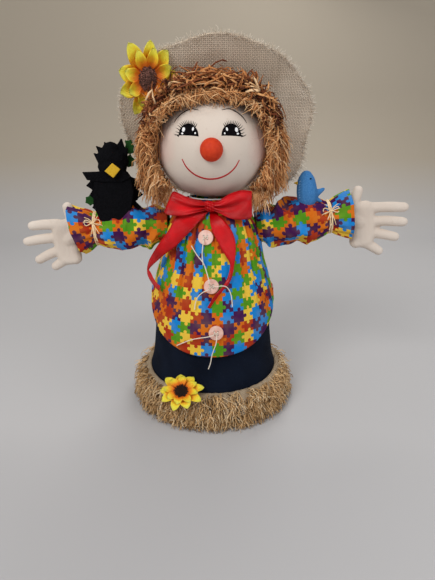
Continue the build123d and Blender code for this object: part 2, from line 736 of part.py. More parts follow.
def build_flower(name, place, radius, centre_radius):
    """Two layers of petals, turned half a petal from each other, under a domed centre."""
    petal_length = radius * (1 - petal_hub / 2)
    for layer, part_name in enumerate(("outer", "inner")):
        with BuildPart() as petals:
            with BuildSketch(place.offset(layer * petal_thickness)):
                Circle(centre_radius)
                with PolarLocations(radius - petal_length / 2, petal_count, layer * 180 / petal_count):
                    Ellipse(petal_length / 2, petal_length / 4.4)
            extrude(amount=petal_thickness)
        save(petals.part, f"{name}_petals_{part_name}")
    with BuildPart() as centre:
        with BuildSketch(place.offset(2 * petal_thickness)):
            Circle(centre_radius)
        extrude(amount=flower_centre_height)
        fillet(centre.faces().sort_by(Axis(place.origin, place.z_dir))[-1].edges(), 0.6 * flower_centre_height)
    save(centre.part, f"{name}_centre")


build_foot()
build_body()
build_buttons()
build_bow()
build_shoulder_wire()
build_crow(build_arm("right", -1, right_tilt, right_fingers))
build_bluebird(build_arm("left", 1, left_tilt, left_fingers))
build_head()
build_hair()
build_hat()
build_flower("hat_sunflower", hat_flower_place, hat_flower_radius, hat_flower_centre)
build_flower("foot_sunflower", foot_flower_place, foot_flower_radius, foot_flower_centre)
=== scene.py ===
"""Soft scarecrow doll on a weighted base: cloth, straw hair, burlap, ribbon, flowers and birds.

Lengths are in millimetres and become metres where a mesh or curve is made.
"""
from math import cos, pi, radians, sin

import bmesh
import bpy
import numpy as np
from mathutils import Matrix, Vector, noise


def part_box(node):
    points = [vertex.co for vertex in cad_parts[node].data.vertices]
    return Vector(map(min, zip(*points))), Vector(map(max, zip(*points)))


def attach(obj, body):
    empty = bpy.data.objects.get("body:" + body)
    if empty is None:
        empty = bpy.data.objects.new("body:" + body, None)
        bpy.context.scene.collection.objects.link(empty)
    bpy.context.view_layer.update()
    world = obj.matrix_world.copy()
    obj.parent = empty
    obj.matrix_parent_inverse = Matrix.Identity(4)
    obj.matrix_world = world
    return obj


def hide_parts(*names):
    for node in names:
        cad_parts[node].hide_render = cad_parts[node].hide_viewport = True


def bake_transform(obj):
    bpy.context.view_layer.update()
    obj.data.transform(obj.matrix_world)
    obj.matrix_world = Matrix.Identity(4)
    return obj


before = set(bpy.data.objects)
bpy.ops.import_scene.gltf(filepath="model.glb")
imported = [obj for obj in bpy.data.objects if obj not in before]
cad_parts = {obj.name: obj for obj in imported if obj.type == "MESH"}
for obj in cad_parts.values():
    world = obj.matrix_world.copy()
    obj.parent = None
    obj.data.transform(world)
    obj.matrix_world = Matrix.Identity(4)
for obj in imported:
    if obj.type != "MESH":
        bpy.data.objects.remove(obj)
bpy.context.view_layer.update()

MM = 0.001
RNG = np.random.default_rng(7)

# body, as (height, radius), the same outlines as the solids underneath
TROUSERS = ((5.3, 86.0), (22.0, 89.0), (60.0, 83.5), (100.0, 79.0), (140.0, 77.5))
SHIRT = ((90.0, 86.2), (126.0, 85.0), (155.0, 79.5), (180.0, 73.5), (200.0, 67.5),
         (230.0, 61.5), (249.0, 53.0), (261.0, 41.0), (268.0, 26.0))
HEM_FRONT = 93.5
HEM_RISE = 46.0
SHIRT_TOP = 268.0
SHIRT_FLAT_RADIUS = 86.0

# arms, as (distance from the shoulder, radius)
SHOULDER_X = 68.0
SHOULDER_Z = 238.0
TILT = {"right": -3.0, "left": 8.0}
SIDE = {"right": -1, "left": 1}
SLEEVE = ((-12.0, 20.0), (4.0, 24.0), (25.0, 25.5), (55.0, 25.0), (72.0, 23.5), (81.0, 20.0),
          (91.0, 24.0), (107.0, 29.0))
TIE = 81.0

# head and hat
HEAD_Z = 335.0
HEAD_RADIUS = 67.5
HEAD_HALF_HEIGHT = 60.5
BRIM_X = 5.0
BRIM_HALF_WIDTH = 119.0
BRIM_PROFILE = ((-41.0, 448.0), (-7.0, 401.0), (20.0, 362.0), (33.0, 334.0), (42.0, 300.0), (50.0, 266.0))
CROWN = (6.5, 339.7)
CROWN_RADIUS = 74.0
LOCK_BOTTOM = 257.0
EYE_HEIGHT = 12.0
EYE_CURVE = 2.1

THREAD_DIAMETER = 1.2
THREAD_ROUTES = {
    1: ((-9.0, -62.4, 233.9), (-9.4, -66.0, 234.8), (-9.7, -69.2, 232.8), (-10.8, -70.6, 225.5),
        (-11.4, -71.5, 216.5), (-10.0, -73.5, 206.5)),
    2: ((-2.5, -75.7, 183.6), (-2.6, -79.3, 184.5), (-2.9, -81.2, 187.8), (-4.5, -79.0, 194.2),
        (-7.0, -73.5, 201.0), (-9.5, -70.0, 208.0), (-16.5, -66.0, 215.0), (-20.5, -63.7, 221.0),
        (-24.0, -61.0, 226.5)),
    3: ((1.8, -76.2, 181.5), (1.9, -79.8, 182.4), (4.6, -82.4, 183.0), (11.5, -82.0, 184.3),
        (17.0, -79.0, 182.3), (21.5, -77.5, 175.5), (23.5, -79.0, 166.5), (24.0, -80.7, 157.5)),
    4: ((-2.6, -76.8, 178.9), (-2.7, -80.3, 179.7), (-5.1, -83.2, 179.2), (-11.5, -83.5, 176.3),
        (-17.0, -80.0, 169.5), (-20.0, -79.0, 161.5), (-20.6, -80.3, 154.0)),
    5: ((2.7, -87.7, 126.0), (2.8, -91.3, 126.5), (0.3, -94.1, 126.0), (-6.5, -94.2, 124.2),
        (-16.0, -90.5, 121.3), (-26.5, -85.5, 116.5), (-35.5, -81.5, 110.5), (-43.5, -77.5, 105.0)),
    6: ((5.3, -88.1, 124.0), (5.5, -91.7, 124.5), (5.6, -94.7, 122.1), (4.6, -95.2, 115.0),
        (1.8, -93.0, 106.5), (-0.8, -91.0, 96.5), (-1.8, -90.0, 87.0), (-4.6, -89.3, 79.0)),
}


# ---------------------------------------------------------------- lines and surfaces

def through(points, count):
    """`count` evenly spaced points on a smooth curve through `points`."""
    given = np.array(points, float)
    ends = np.vstack([2 * given[0] - given[1], given, 2 * given[-1] - given[-2]])
    runs = []
    for a, b, c, d in zip(ends, ends[1:], ends[2:], ends[3:]):
        t = np.linspace(0, 1, 24, endpoint=False)[:, None]
        runs.append(0.5 * (2 * b + (c - a) * t + (2 * a - 5 * b + 4 * c - d) * t**2
                           + (3 * b - a - 3 * c + d) * t**3))
    dense = np.vstack([*runs, given[-1:]])
    run = np.concatenate([[0], np.cumsum(np.linalg.norm(np.diff(dense, axis=0), axis=1))])
    wanted = np.linspace(0, run[-1], count)
    return np.column_stack([np.interp(wanted, run, dense[:, axis]) for axis in range(dense.shape[1])])


def profile(outline):
    """The radius as a smooth function of the first coordinate of an outline."""
    line = through(outline, 200)
    return lambda at: np.interp(at, line[:, 0], line[:, 1])


def smoothstep(low, high, value):
    t = np.clip((np.asarray(value, float) - low) / (high - low), 0, 1)
    return t * t * (3 - 2 * t)


def wobble(points, size, seed=0.0):
    """Smooth noise from -1 to 1 at each point, with lumps about `size` across."""
    offset = Vector((seed, 3.1 * seed, -1.7 * seed))
    flat = np.asarray(points, float).reshape(-1, 3) / size
    values = [noise.noise(Vector(p) + offset) for p in flat]
    return np.array(values).reshape(np.asarray(points).shape[:-1])


def waves(angle, count, seed, unevenness=0.35):
    """A wave round a circle whose folds differ in width and height, from -1 to 1."""
    local = np.random.default_rng(seed)
    phases = local.uniform(0, 2 * pi, 4)
    turn = angle + unevenness / count * 2 * (np.sin(3 * angle + phases[0]) + np.sin(5 * angle + phases[1]))
    return np.sin(count * turn + phases[2]) * (0.75 + 0.25 * np.sin(4 * angle + phases[3]))


def head_front(x, z, proud=0.0):
    """y of the front of the head at x and height z."""
    rest = 1 - (np.asarray(x) / HEAD_RADIUS) ** 2 - ((np.asarray(z) - HEAD_Z) / HEAD_HALF_HEIGHT) ** 2
    return -HEAD_RADIUS * np.sqrt(np.clip(rest, 0.0004, 1)) - proud


def off_head(points, gap):
    """Move points that lie in the head, or nearer than gap, straight out of it."""
    radii = np.array([HEAD_RADIUS, HEAD_RADIUS, HEAD_HALF_HEIGHT]) + gap
    scaled = (points - np.array([0, 0, HEAD_Z])) / radii
    reach = np.linalg.norm(scaled, axis=-1, keepdims=True)
    return np.array([0, 0, HEAD_Z]) + scaled / np.minimum(reach, 1) * radii


shirt_radius = profile(SHIRT)
trouser_radius = profile(TROUSERS)
sleeve_radius = profile(SLEEVE)
brim_line = through(BRIM_PROFILE, 400)


def brim_y(z):
    """y of the hat's brim at height z."""
    return np.interp(-np.asarray(z), -brim_line[:, 1], brim_line[:, 0])


# ---------------------------------------------------------------- meshes

def grid_faces(rows, columns):
    return [(r * columns + c, r * columns + c + 1, (r + 1) * columns + c + 1, (r + 1) * columns + c)
            for r in range(rows - 1) for c in range(columns - 1)]


def piece(name, mesh, material, body):
    made = bpy.data.objects.new(name, mesh)
    bpy.context.scene.collection.objects.link(made)
    made.data.materials.clear()
    made.data.materials.append(material)
    if body:
        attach(made, body)
    return made


def shade_smooth(mesh):
    mesh.polygons.foreach_set("use_smooth", [True] * len(mesh.polygons))


def set_points(mesh, name, values):
    """Store one number for each point, which a material reads by name."""
    layer = mesh.attributes.new(name, "FLOAT", "POINT")
    layer.data.foreach_set("value", np.asarray(values, np.float32).ravel())


def grid_mesh(name, points, flat=None, close=False, thickness=0.0, **numbers):
    """A mesh from a rows x columns array of points in mm, with flat holding its cloth coordinates in mm."""
    rows, columns = points.shape[:2]
    mesh = bpy.data.meshes.new(name)
    mesh.from_pydata((points.reshape(-1, 3) * MM).tolist(), [], grid_faces(rows, columns))
    if flat is not None:
        layer = mesh.uv_layers.new(name="cloth")
        corner = np.empty(len(mesh.loops), int)
        mesh.loops.foreach_get("vertex_index", corner)
        layer.data.foreach_set("uv", (flat.reshape(-1, 2)[corner] * MM).astype(np.float32).ravel())
    for number, values in numbers.items():
        set_points(mesh, number, values)
    if close:
        weld(mesh)
    shade_smooth(mesh)
    if thickness:
        thicken(mesh, thickness)
    return mesh


def weld(mesh):
    """Join points that lie closer than a twentieth of a millimetre."""
    work = bmesh.new()
    work.from_mesh(mesh)
    bmesh.ops.remove_doubles(work, verts=work.verts, dist=0.05 * MM)
    work.to_mesh(mesh)
    work.free()


def with_modifiers(mesh, *settings):
    """Change a mesh in place with modifiers, each a kind and its settings."""
    carrier = bpy.data.objects.new("carrier", mesh)
    bpy.context.scene.collection.objects.link(carrier)
    for kind, values in settings:
        modifier = carrier.modifiers.new(kind, kind)
        for key, value in values.items():
            setattr(modifier, key, value)
    graph = bpy.context.evaluated_depsgraph_get()
    done = bpy.data.meshes.new_from_object(carrier.evaluated_get(graph), preserve_all_data_layers=True,
                                           depsgraph=graph)
    work = bmesh.new()
    work.from_mesh(done)
    work.to_mesh(mesh)
    work.free()
    bpy.data.objects.remove(carrier)
    bpy.data.meshes.remove(done)
    return mesh


def thicken(mesh, thickness):
    return with_modifiers(mesh, ("SOLIDIFY", {"thickness": thickness * MM, "offset": 0.0}))


def strand_mesh(name, lines, widths, shades):
    """Many thin three-sided strands: lines is strands x points x 3 in mm."""
    flatness, taper = 0.45, 0.5
    strands, steps = lines.shape[:2]
    along = np.gradient(lines, axis=1)
    along /= np.linalg.norm(along, axis=2, keepdims=True) + 1e-9
    across = np.cross(along, RNG.normal(size=(strands, 1, 3)))
    across /= np.linalg.norm(across, axis=2, keepdims=True) + 1e-9
    other = np.cross(along, across)
    fade = 1 - taper * np.linspace(0, 1, steps) ** 2
    half = (np.asarray(widths)[:, None] / 2 * fade)[:, :, None]
    rings = [lines + half * (cos(a) * across + flatness * sin(a) * other) for a in (0, 2 * pi / 3, 4 * pi / 3)]
    points = np.stack(rings, axis=2).reshape(-1, 3)
    per_strand = steps * 3
    faces = []
    for step in range(steps - 1):
        for side in range(3):
            a, b = step * 3 + side, step * 3 + (side + 1) % 3
            faces.append((a, b, b + 3, a + 3))
    quads = (np.array(faces)[None] + per_strand * np.arange(strands)[:, None, None]).reshape(-1, 4)
    last = per_strand - 3
    ends = (np.array([(2, 1, 0), (last, last + 1, last + 2)])[None]
            + per_strand * np.arange(strands)[:, None, None]).reshape(-1, 3)
    mesh = bpy.data.meshes.new(name)
    mesh.from_pydata((points * MM).tolist(), [], quads.tolist() + ends.tolist())
    set_points(mesh, "shade", np.repeat(np.asarray(shades, float), per_strand))
    shade_smooth(mesh)
    return mesh


def strand_piece(name, lines, widths, shades, material, body):
    return piece(name, strand_mesh(name, lines, widths, shades), material, body)


def cloth_piece(name, points, flat, thickness, material, body):
    """A piece of cloth that closes on itself: points and flat as for grid_mesh()."""
    return piece(name, grid_mesh(name, points, flat, close=True, thickness=thickness), material, body)


def arcs(roots, bends, tips, steps, curl):
    """Curved lines from roots to tips, each drawn towards its bend, with a little random curl."""
    t = np.linspace(0, 1, steps)[None, :, None]
    lines = ((1 - t) ** 2 * roots[:, None] + 2 * t * (1 - t) * bends[:, None] + t**2 * tips[:, None])
    shake = RNG.normal(size=(len(roots), 1, 3)) * np.sin(t * pi * RNG.uniform(1.2, 2.6, (len(roots), 1, 1)))
    return lines + curl * shake


def tube_points(line, radius, sides=8, taper=0.0):
    """Rings of points round a line of points in mm, as a grid."""
    line = np.asarray(line, float)
    along = np.gradient(line, axis=0)
    along /= np.linalg.norm(along, axis=1, keepdims=True)
    across = np.cross(along, (0.31, 0.87, 0.39))
    across /= np.linalg.norm(across, axis=1, keepdims=True)
    other = np.cross(along, across)
    turn = np.linspace(0, 2 * pi, sides + 1)
    half = radius * (1 - taper * np.linspace(0, 1, len(line)) ** 2)
    return (line[:, None] + half[:, None, None] * (np.cos(turn)[None, :, None] * across[:, None]
                                                   + np.sin(turn)[None, :, None] * other[:, None]))


def joined(name, parts):
    """One mesh from several."""
    work = bmesh.new()
    for part in parts:
        work.from_mesh(part)
    mesh = bpy.data.meshes.new(name)
    work.to_mesh(mesh)
    work.free()
    shade_smooth(mesh)
    return mesh


def blob(points_and_radii):
    """Rough closed balls along a list of (point, radius), close together, for sculpted()."""
    work = bmesh.new()
    for (x, y, z), radius in points_and_radii:
        made = bmesh.ops.create_icosphere(work, subdivisions=2, radius=radius * MM)
        bmesh.ops.translate(work, verts=made["verts"], vec=(x * MM, y * MM, z * MM))
    mesh = bpy.data.meshes.new("blob")
    work.to_mesh(mesh)
    work.free()
    return mesh


def slab(outline, back, front):
    """A closed plate in the xz plane between y = front and y = back, in mm, from its outline."""
    count = len(outline)
    points = [(x * MM, y * MM, z * MM) for y in (front, back) for x, z in outline]
    sides = [(i, (i + 1) % count, count + (i + 1) % count, count + i) for i in range(count)]
    mesh = bpy.data.meshes.new("slab")
    mesh.from_pydata(points, [], [tuple(reversed(range(count))), tuple(range(count, 2 * count)), *sides])
    work = bmesh.new()
    work.from_mesh(mesh)
    bmesh.ops.triangulate(work, faces=[f for f in work.faces if len(f.verts) > 4])
    bmesh.ops.recalc_face_normals(work, faces=work.faces)
    work.to_mesh(mesh)
    work.free()
    return mesh


def sculpted(name, parts, voxel, smoothing):
    """Closed shapes melted into one soft skin."""
    mesh = joined(name, parts)
    with_modifiers(mesh, ("REMESH", {"mode": "VOXEL", "voxel_size": voxel * MM}),
                   ("SMOOTH", {"factor": 0.5, "iterations": smoothing}))
    shade_smooth(mesh)
    return mesh


def limb(line, radii, spacing=1.6):
    """Balls along a smooth line whose radius follows radii, for blob()."""
    length = np.linalg.norm(np.diff(np.array(line, float), axis=0), axis=1).sum()
    count = max(3, int(length / spacing))
    path = through(line, count)
    sizes = np.interp(np.linspace(0, 1, count), np.linspace(0, 1, len(radii)), radii)
    return list(zip(path.tolist(), sizes))


# ---------------------------------------------------------------- materials

class Nodes:
    """Short forms for the nodes of one material."""

    def __init__(self, name, roughness=0.8, **constants):
        self.material = bpy.data.materials.new(name)
        self.material.use_nodes = True
        self.tree = self.material.node_tree
        self.tree.nodes.clear()
        self.surface = self.add("ShaderNodeBsdfPrincipled", Roughness=roughness, **constants)
        output = self.add("ShaderNodeOutputMaterial")
        self.tree.links.new(self.surface.outputs[0], output.inputs[0])

    def set(self, socket, value):
        if isinstance(value, bpy.types.NodeSocket):
            self.tree.links.new(value, socket)
        else:
            socket.default_value = value

    def add(self, kind, settings=None, **inputs):
        node = self.tree.nodes.new(kind)
        for key, value in (settings or {}).items():
            setattr(node, key, value)
        for key, value in inputs.items():
            self.set(node.inputs[key.replace("_", " ")], value)
        return node

    def math(self, operation, *values):
        node = self.add("ShaderNodeMath", {"operation": operation})
        for socket, value in zip(node.inputs, values):
            self.set(socket, value)
        return node.outputs[0]

    def mix(self, factor, first, second):
        node = self.add("ShaderNodeMix", {"data_type": "RGBA"})
        for index, value in ((0, factor), (6, first), (7, second)):
            if isinstance(value, tuple) and len(value) == 3:
                value = (*value, 1)
            self.set(node.inputs[index], value)
        return node.outputs[2]

    def ramp(self, value, stops, interpolation="LINEAR"):
        node = self.add("ShaderNodeValToRGB", Fac=value)
        node.color_ramp.interpolation = interpolation
        elements = node.color_ramp.elements
        while len(elements) < len(stops):
            elements.new(0.5)
        for element, (place, colour) in zip(elements, stops):
            element.position = place
        for element, (place, colour) in zip(elements, stops):
            element.color = (*colour, 1)
        return node.outputs[0]

    def between(self, value, low, high, to_low=0.0, to_high=1.0):
        node = self.add("ShaderNodeMapRange", {"clamp": True}, Value=value)
        for name, number in (("From Min", low), ("From Max", high), ("To Min", to_low), ("To Max", to_high)):
            self.set(node.inputs[name], number)
        return node.outputs[0]

    def noise(self, scale, detail=3.0, roughness=0.5):
        return self.add("ShaderNodeTexNoise", Scale=scale, Detail=detail, Roughness=roughness,
                        Vector=self.object()).outputs[0]

    def white(self, x, y, z=0.0):
        place = self.add("ShaderNodeCombineXYZ", X=x, Y=y, Z=z).outputs[0]
        return self.add("ShaderNodeTexWhiteNoise", {"noise_dimensions": "3D"}, Vector=place).outputs[0]

    def object(self):
        return self.add("ShaderNodeTexCoord").outputs["Object"]

    def cloth(self, pitch):
        """The two cloth coordinates, in steps of pitch mm."""
        parts = self.add("ShaderNodeSeparateXYZ", Vector=self.add("ShaderNodeUVMap").outputs[0])
        return [self.math("DIVIDE", parts.outputs[i], pitch * MM) for i in (0, 1)]

    def number(self, name):
        return self.add("ShaderNodeAttribute", {"attribute_name": name}).outputs["Fac"]

    def colour(self, value):
        self.set(self.surface.inputs["Base Color"], (*value, 1) if isinstance(value, tuple) else value)

    def bump(self, height, depth):
        """Raise the surface by up to depth mm where height is 1."""
        node = self.add("ShaderNodeBump", Height=height, Strength=1.0, Distance=depth * MM)
        self.tree.links.new(node.outputs[0], self.surface.inputs["Normal"])

    def weave(self, u, v, evenness=0.12):
        """Height of a plain weave whose yarns are one step apart, with yarns of uneven thickness."""
        wander = self.noise(140.0, 2.0)
        shift = self.math("MULTIPLY", self.math("SUBTRACT", wander, 0.5), evenness * 4)
        u, v = self.math("ADD", u, shift), self.math("SUBTRACT", v, shift)
        yarns = []
        for across, along in ((u, v), (v, u)):
            round_top = self.math("ABSOLUTE", self.math("SINE", self.math("MULTIPLY", across, pi)))
            step = self.math("ADD", self.math("FLOOR", across), along)
            over = self.math("SINE", self.math("MULTIPLY", step, pi))
            lift = self.between(over, -1.0, 1.0, 0.55, 1.0)
            yarn = self.white(self.math("FLOOR", across), 3.0)
            thick = self.between(yarn, 0.0, 1.0, 0.75, 1.0)
            yarns.append(self.math("MULTIPLY", self.math("MULTIPLY", round_top, lift), thick))
        return self.math("MAXIMUM", *yarns)


def burlap(name, dark, light, gap):
    """Open plain weave of jute: uneven yarns in two tones, with painted shade in the gaps between them."""
    n = Nodes(name, 0.95, Specular_IOR_Level=0.15)
    u, v = n.cloth(2.0)
    height = n.weave(u, v, 0.2)
    fibre = n.noise(900.0, 4.0)
    patch = n.noise(22.0, 3.0)
    yarn = n.mix(n.between(patch, 0.3, 0.7), dark, light)
    yarn = n.mix(n.between(fibre, 0.35, 0.75), n.mix(0.25, yarn, gap), yarn)
    # the gap colour fills the holes of the weave: painted shade for the dark seen through them
    hole = n.between(height, 0.30, 0.55)
    n.colour(n.mix(hole, gap, yarn))
    n.bump(n.math("ADD", height, n.math("MULTIPLY", fibre, 0.25)), 0.6)
    return n.material


def straw(name, stops, rough=0.75):
    """Raffia and frayed yarn: each strand has its own shade, with streaks along it."""
    n = Nodes(name, rough, Specular_IOR_Level=0.25)
    streak = n.noise(700.0, 3.0)
    shade = n.math("ADD", n.number("shade"), n.between(streak, 0.25, 0.75, -0.12, 0.12))
    n.colour(n.ramp(shade, stops))
    n.bump(streak, 0.25)
    return n.material


def calico(name="calico", blush=False):
    n = Nodes(name, 0.9, Sheen_Weight=0.03, Specular_IOR_Level=0.2)
    weave = n.noise(1500.0, 2.0)
    fleck = n.noise(260.0, 3.0)
    base = n.mix(n.between(n.noise(18.0, 2.0), 0.3, 0.7), (0.66, 0.56, 0.475), (0.74, 0.65, 0.565))
    base = n.mix(n.between(fleck, 0.62, 0.75, 0.0, 0.2), base, (0.5, 0.38, 0.28))
    if blush:
        place = n.add("ShaderNodeSeparateXYZ", Vector=n.object())
        side = n.math("ABSOLUTE", place.outputs[0])
        height = n.math("ABSOLUTE", n.math("SUBTRACT", place.outputs[2], 0.337))
        reach = n.math("ADD", n.between(side, 0.038, 0.06), n.between(height, 0.012, 0.042, 0.0, -1.0))
        base = n.mix(n.between(reach, 0.0, 1.0, 0.0, 0.30), base, (0.80, 0.30, 0.27))
        chin = n.between(place.outputs[2], 0.272, 0.300, 0.18, 0.0)
        base = n.mix(chin, base, (0.75, 0.30, 0.24))
    n.colour(base)
    n.bump(n.math("ADD", weave, n.math("MULTIPLY", fleck, 0.5)), 0.22)
    return n.material


def puzzle_print():
    """Printed cotton: an interlocking jigsaw in six colours."""
    n = Nodes("puzzle_print", 0.75, Specular_IOR_Level=0.15)
    u, v = n.cloth(13.6)
    ripple = n.noise(70.0, 1.0)
    cells = [n.math("FLOOR", u), n.math("FLOOR", v)]
    within = [n.math("SUBTRACT", u, cells[0]), n.math("SUBTRACT", v, cells[1])]
    moved = list(cells)
    rim = None
    for axis in (0, 1):
        for end in (0, 1):
            edge = [n.math("ADD", cells[i], float(end)) if i == axis else cells[i] for i in (0, 1)]
            sign = n.math("SIGN", n.math("SUBTRACT", n.white(*edge, 5.0 + axis), 0.5))
            centre = n.math("ADD", n.math("MULTIPLY", sign, 0.125), float(end))
            slide = n.between(n.white(*edge, 9.0 + axis), 0.0, 1.0, 0.42, 0.58)
            across = n.math("SUBTRACT", within[axis], centre)
            beside = n.math("SUBTRACT", within[1 - axis], slide)
            away = n.math("SQRT", n.math("ADD", n.math("MULTIPLY", across, across),
                                         n.math("MULTIPLY", beside, beside)))
            inside = n.math("LESS_THAN", away, 0.165)
            inwards = n.math("GREATER_THAN" if end == 0 else "LESS_THAN", sign, 0.0)
            taken = n.math("MULTIPLY", inside, inwards)
            change = n.math("MULTIPLY", taken, 1.0 if end else -1.0)
            moved[axis] = n.math("ADD", moved[axis], change)
            line = n.between(n.math("ABSOLUTE", n.math("SUBTRACT", away, 0.165)), 0.0, 0.022, 1.0, 0.0)
            line = n.math("MULTIPLY", line, inwards)
            rim = line if rim is None else n.math("MAXIMUM", rim, line)
    scatter = n.math("FLOOR", n.math("MULTIPLY", n.white(moved[0], moved[1], 2.0), 2.0))
    index = n.math("ADD", n.math("ADD", n.math("MULTIPLY", moved[0], 2.0), n.math("MULTIPLY", moved[1], 3.0)),
                   scatter)
    index = n.math("DIVIDE", n.math("ADD", n.math("FLOORED_MODULO", index, 6.0), 0.5), 6.0)
    colours = ((0.90, 0.58, 0.055), (0.70, 0.155, 0.006), (0.006, 0.24, 0.68),
               (0.44, 0.030, 0.007), (0.085, 0.31, 0.010), (0.060, 0.006, 0.075))
    ink = n.ramp(index, [(i / 6, colour) for i, colour in enumerate(colours)], "CONSTANT")
    ink = n.mix(n.between(ripple, 0.4, 0.75, 0.0, 0.16), ink, n.mix(0.5, ink, (0.9, 0.62, 0.12)))
    ink = n.mix(n.math("MULTIPLY", rim, 0.3), ink, (0.05, 0.03, 0.05))
    n.colour(ink)
    n.bump(n.math("ADD", n.weave(*n.cloth(0.55)), n.math("MULTIPLY", ripple, 0.6)), 0.25)
    return n.material


def navy_twill():
    n = Nodes("navy_twill", 0.92, Specular_IOR_Level=0.1)
    u, v = n.cloth(0.9)
    rib = n.math("SINE", n.math("MULTIPLY", n.math("ADD", u, v), 2 * pi))
    lint = n.noise(450.0, 4.0)
    base = n.mix(n.between(n.noise(30.0), 0.3, 0.7), (0.0035, 0.006, 0.014), (0.007, 0.012, 0.026))
    n.colour(n.mix(n.between(lint, 0.6, 0.8, 0.0, 0.16), base, (0.05, 0.07, 0.11)))
    n.bump(n.math("ADD", n.math("MULTIPLY", rib, 0.4), lint), 0.3)
    return n.material


def satin():
    n = Nodes("red_satin", 0.24, Anisotropic=0.3, Specular_IOR_Level=0.32)
    rib = n.math("SINE", n.math("MULTIPLY", n.cloth(0.5)[1], 2 * pi))
    # painted shade and highlight: random darker and lighter patches of the red stand in for the shadows in the
    # ribbon's folds and for its sheen
    tone = n.noise(40.0, 2.0)
    n.colour(n.mix(n.between(tone, 0.3, 0.7), (0.38, 0.0005, 0.002), (0.76, 0.004, 0.009)))
    n.bump(n.math("ADD", n.math("MULTIPLY", rib, 0.2), n.noise(90.0, 2.0)), 0.35)
    return n.material


def felt(name, colour, lighter):
    n = Nodes(name, 0.97, Specular_IOR_Level=0.06)
    fluff = n.noise(620.0, 5.0, roughness=0.7)
    n.colour(n.mix(n.between(fluff, 0.35, 0.75), colour, lighter))
    n.bump(n.math("ADD", fluff, n.math("MULTIPLY", n.noise(120.0), 0.5)), 0.6)
    return n.material


def petal_cloth():
    """Printed petals: orange at the root, yellow outwards, greenish at the tip."""
    n = Nodes("petal_cloth", 0.55)
    streaks = n.noise(260.0, 3.0)
    along = n.math("ADD", n.number("along"), n.between(streaks, 0.3, 0.7, -0.09, 0.09))
    stops = [(0.0, (0.78, 0.10, 0.004)), (0.38, (0.92, 0.22, 0.006)), (0.60, (0.94, 0.50, 0.012)),
             (0.78, (0.92, 0.76, 0.03)), (1.0, (0.86, 0.82, 0.10))]
    n.colour(n.ramp(along, stops))
    vein = n.math("SINE", n.math("MULTIPLY", n.number("across"), 30.0))
    n.bump(n.math("ADD", n.math("MULTIPLY", vein, 0.5), streaks), 0.25)
    return n.material


def seeds(name, dark, light):
    n = Nodes(name, 0.9)
    grain = n.noise(700.0, 4.0)
    shade = n.math("ADD", n.math("MULTIPLY", n.number("shade"), 0.7), n.math("MULTIPLY", grain, 0.4))
    n.colour(n.mix(n.between(shade, 0.2, 0.85), dark, light))
    n.bump(grain, 0.5)
    return n.material


def plain(name, colour, second, roughness=0.6, grain=300.0, depth=0.1, **constants):
    """A finish with a little grain, for buttons, thread, paint, wood, wire and board."""
    n = Nodes(name, roughness, **{"Specular_IOR_Level": 0.25, **constants})
    speckle = n.noise(grain, 4.0)
    n.colour(n.mix(n.between(speckle, 0.3, 0.7), colour, second))
    n.bump(speckle, depth)
    return n.material


def button_resin():
    """Two-tone pink moulding, paler in the middle of each swirl."""
    n = Nodes("button_resin", 0.38, Coat_Weight=0.25)
    swirl = n.noise(150.0, 5.0, roughness=0.65)
    stops = [(0.3, (0.70, 0.33, 0.26)), (0.5, (0.78, 0.46, 0.37)), (0.68, (0.84, 0.60, 0.52))]
    n.colour(n.ramp(swirl, stops))
    n.bump(swirl, 0.12)
    return n.material


HAIR_STOPS = [(0.0, (0.04, 0.012, 0.006)), (0.28, (0.22, 0.058, 0.020)), (0.52, (0.56, 0.215, 0.066)),
              (0.78, (0.84, 0.45, 0.185)), (1.0, (0.95, 0.66, 0.38))]
FRAY_STOPS = [(0.0, (0.05, 0.024, 0.010)), (0.32, (0.32, 0.175, 0.068)), (0.55, (0.64, 0.385, 0.165)),
              (0.8, (0.84, 0.57, 0.29)), (1.0, (0.94, 0.75, 0.49))]
PALE_FRAY_STOPS = [(0.0, (0.45, 0.36, 0.26)), (0.6, (0.74, 0.63, 0.50)), (1.0, (0.95, 0.88, 0.78))]

# the last colour of each burlap is the painted shade in the gaps of its weave
BURLAP = burlap("burlap", (0.78, 0.645, 0.50), (0.97, 0.855, 0.70), (0.27, 0.19, 0.12))
BROWN_BURLAP = burlap("brown_burlap", (0.42, 0.31, 0.195), (0.62, 0.49, 0.34), (0.12, 0.075, 0.04))
HAIR = straw("raffia_hair", HAIR_STOPS)
FRAY = straw("frayed_yarn", FRAY_STOPS, 0.9)
PALE_FRAY = straw("pale_frayed_yarn", PALE_FRAY_STOPS, 0.9)
CALICO = calico()
FACE = calico("face_calico", blush=True)
PRINT = puzzle_print()
NAVY = navy_twill()
SATIN = satin()
BLACK_FELT = felt("black_felt", (0.0022, 0.0022, 0.0028), (0.007, 0.007, 0.009))
YELLOW_FELT = felt("yellow_felt", (0.62, 0.36, 0.02), (0.74, 0.48, 0.05))
GREEN_FELT = felt("green_felt", (0.012, 0.055, 0.012), (0.03, 0.10, 0.025))
BLUE_FELT = felt("blue_felt", (0.04, 0.17, 0.42), (0.085, 0.26, 0.54))
PETALS = petal_cloth()
SEEDS = seeds("seed_plush", (0.035, 0.012, 0.008), (0.33, 0.15, 0.11))
DARK_SEEDS = seeds("dark_seed_plush", (0.006, 0.0025, 0.002), (0.055, 0.018, 0.008))
NOSE = plain("nose_paint", (0.56, 0.032, 0.006), (0.66, 0.050, 0.010), 0.65, 260.0, 0.12)
THREAD = plain("cotton_thread", (0.72, 0.62, 0.50), (0.84, 0.76, 0.66), 0.85, 1800.0, 0.2)
WHITE_THREAD = plain("white_thread", (0.80, 0.79, 0.76), (0.88, 0.87, 0.85), 0.85, 1800.0, 0.2)
PALE_BLUE_THREAD = plain("pale_blue_thread", (0.24, 0.44, 0.68), (0.36, 0.56, 0.78), 0.9, 1800.0, 0.2)
EYE_INK = plain("eye_ink", (0.002, 0.0015, 0.002), (0.005, 0.004, 0.005), 0.8,
                Specular_IOR_Level=0.05)
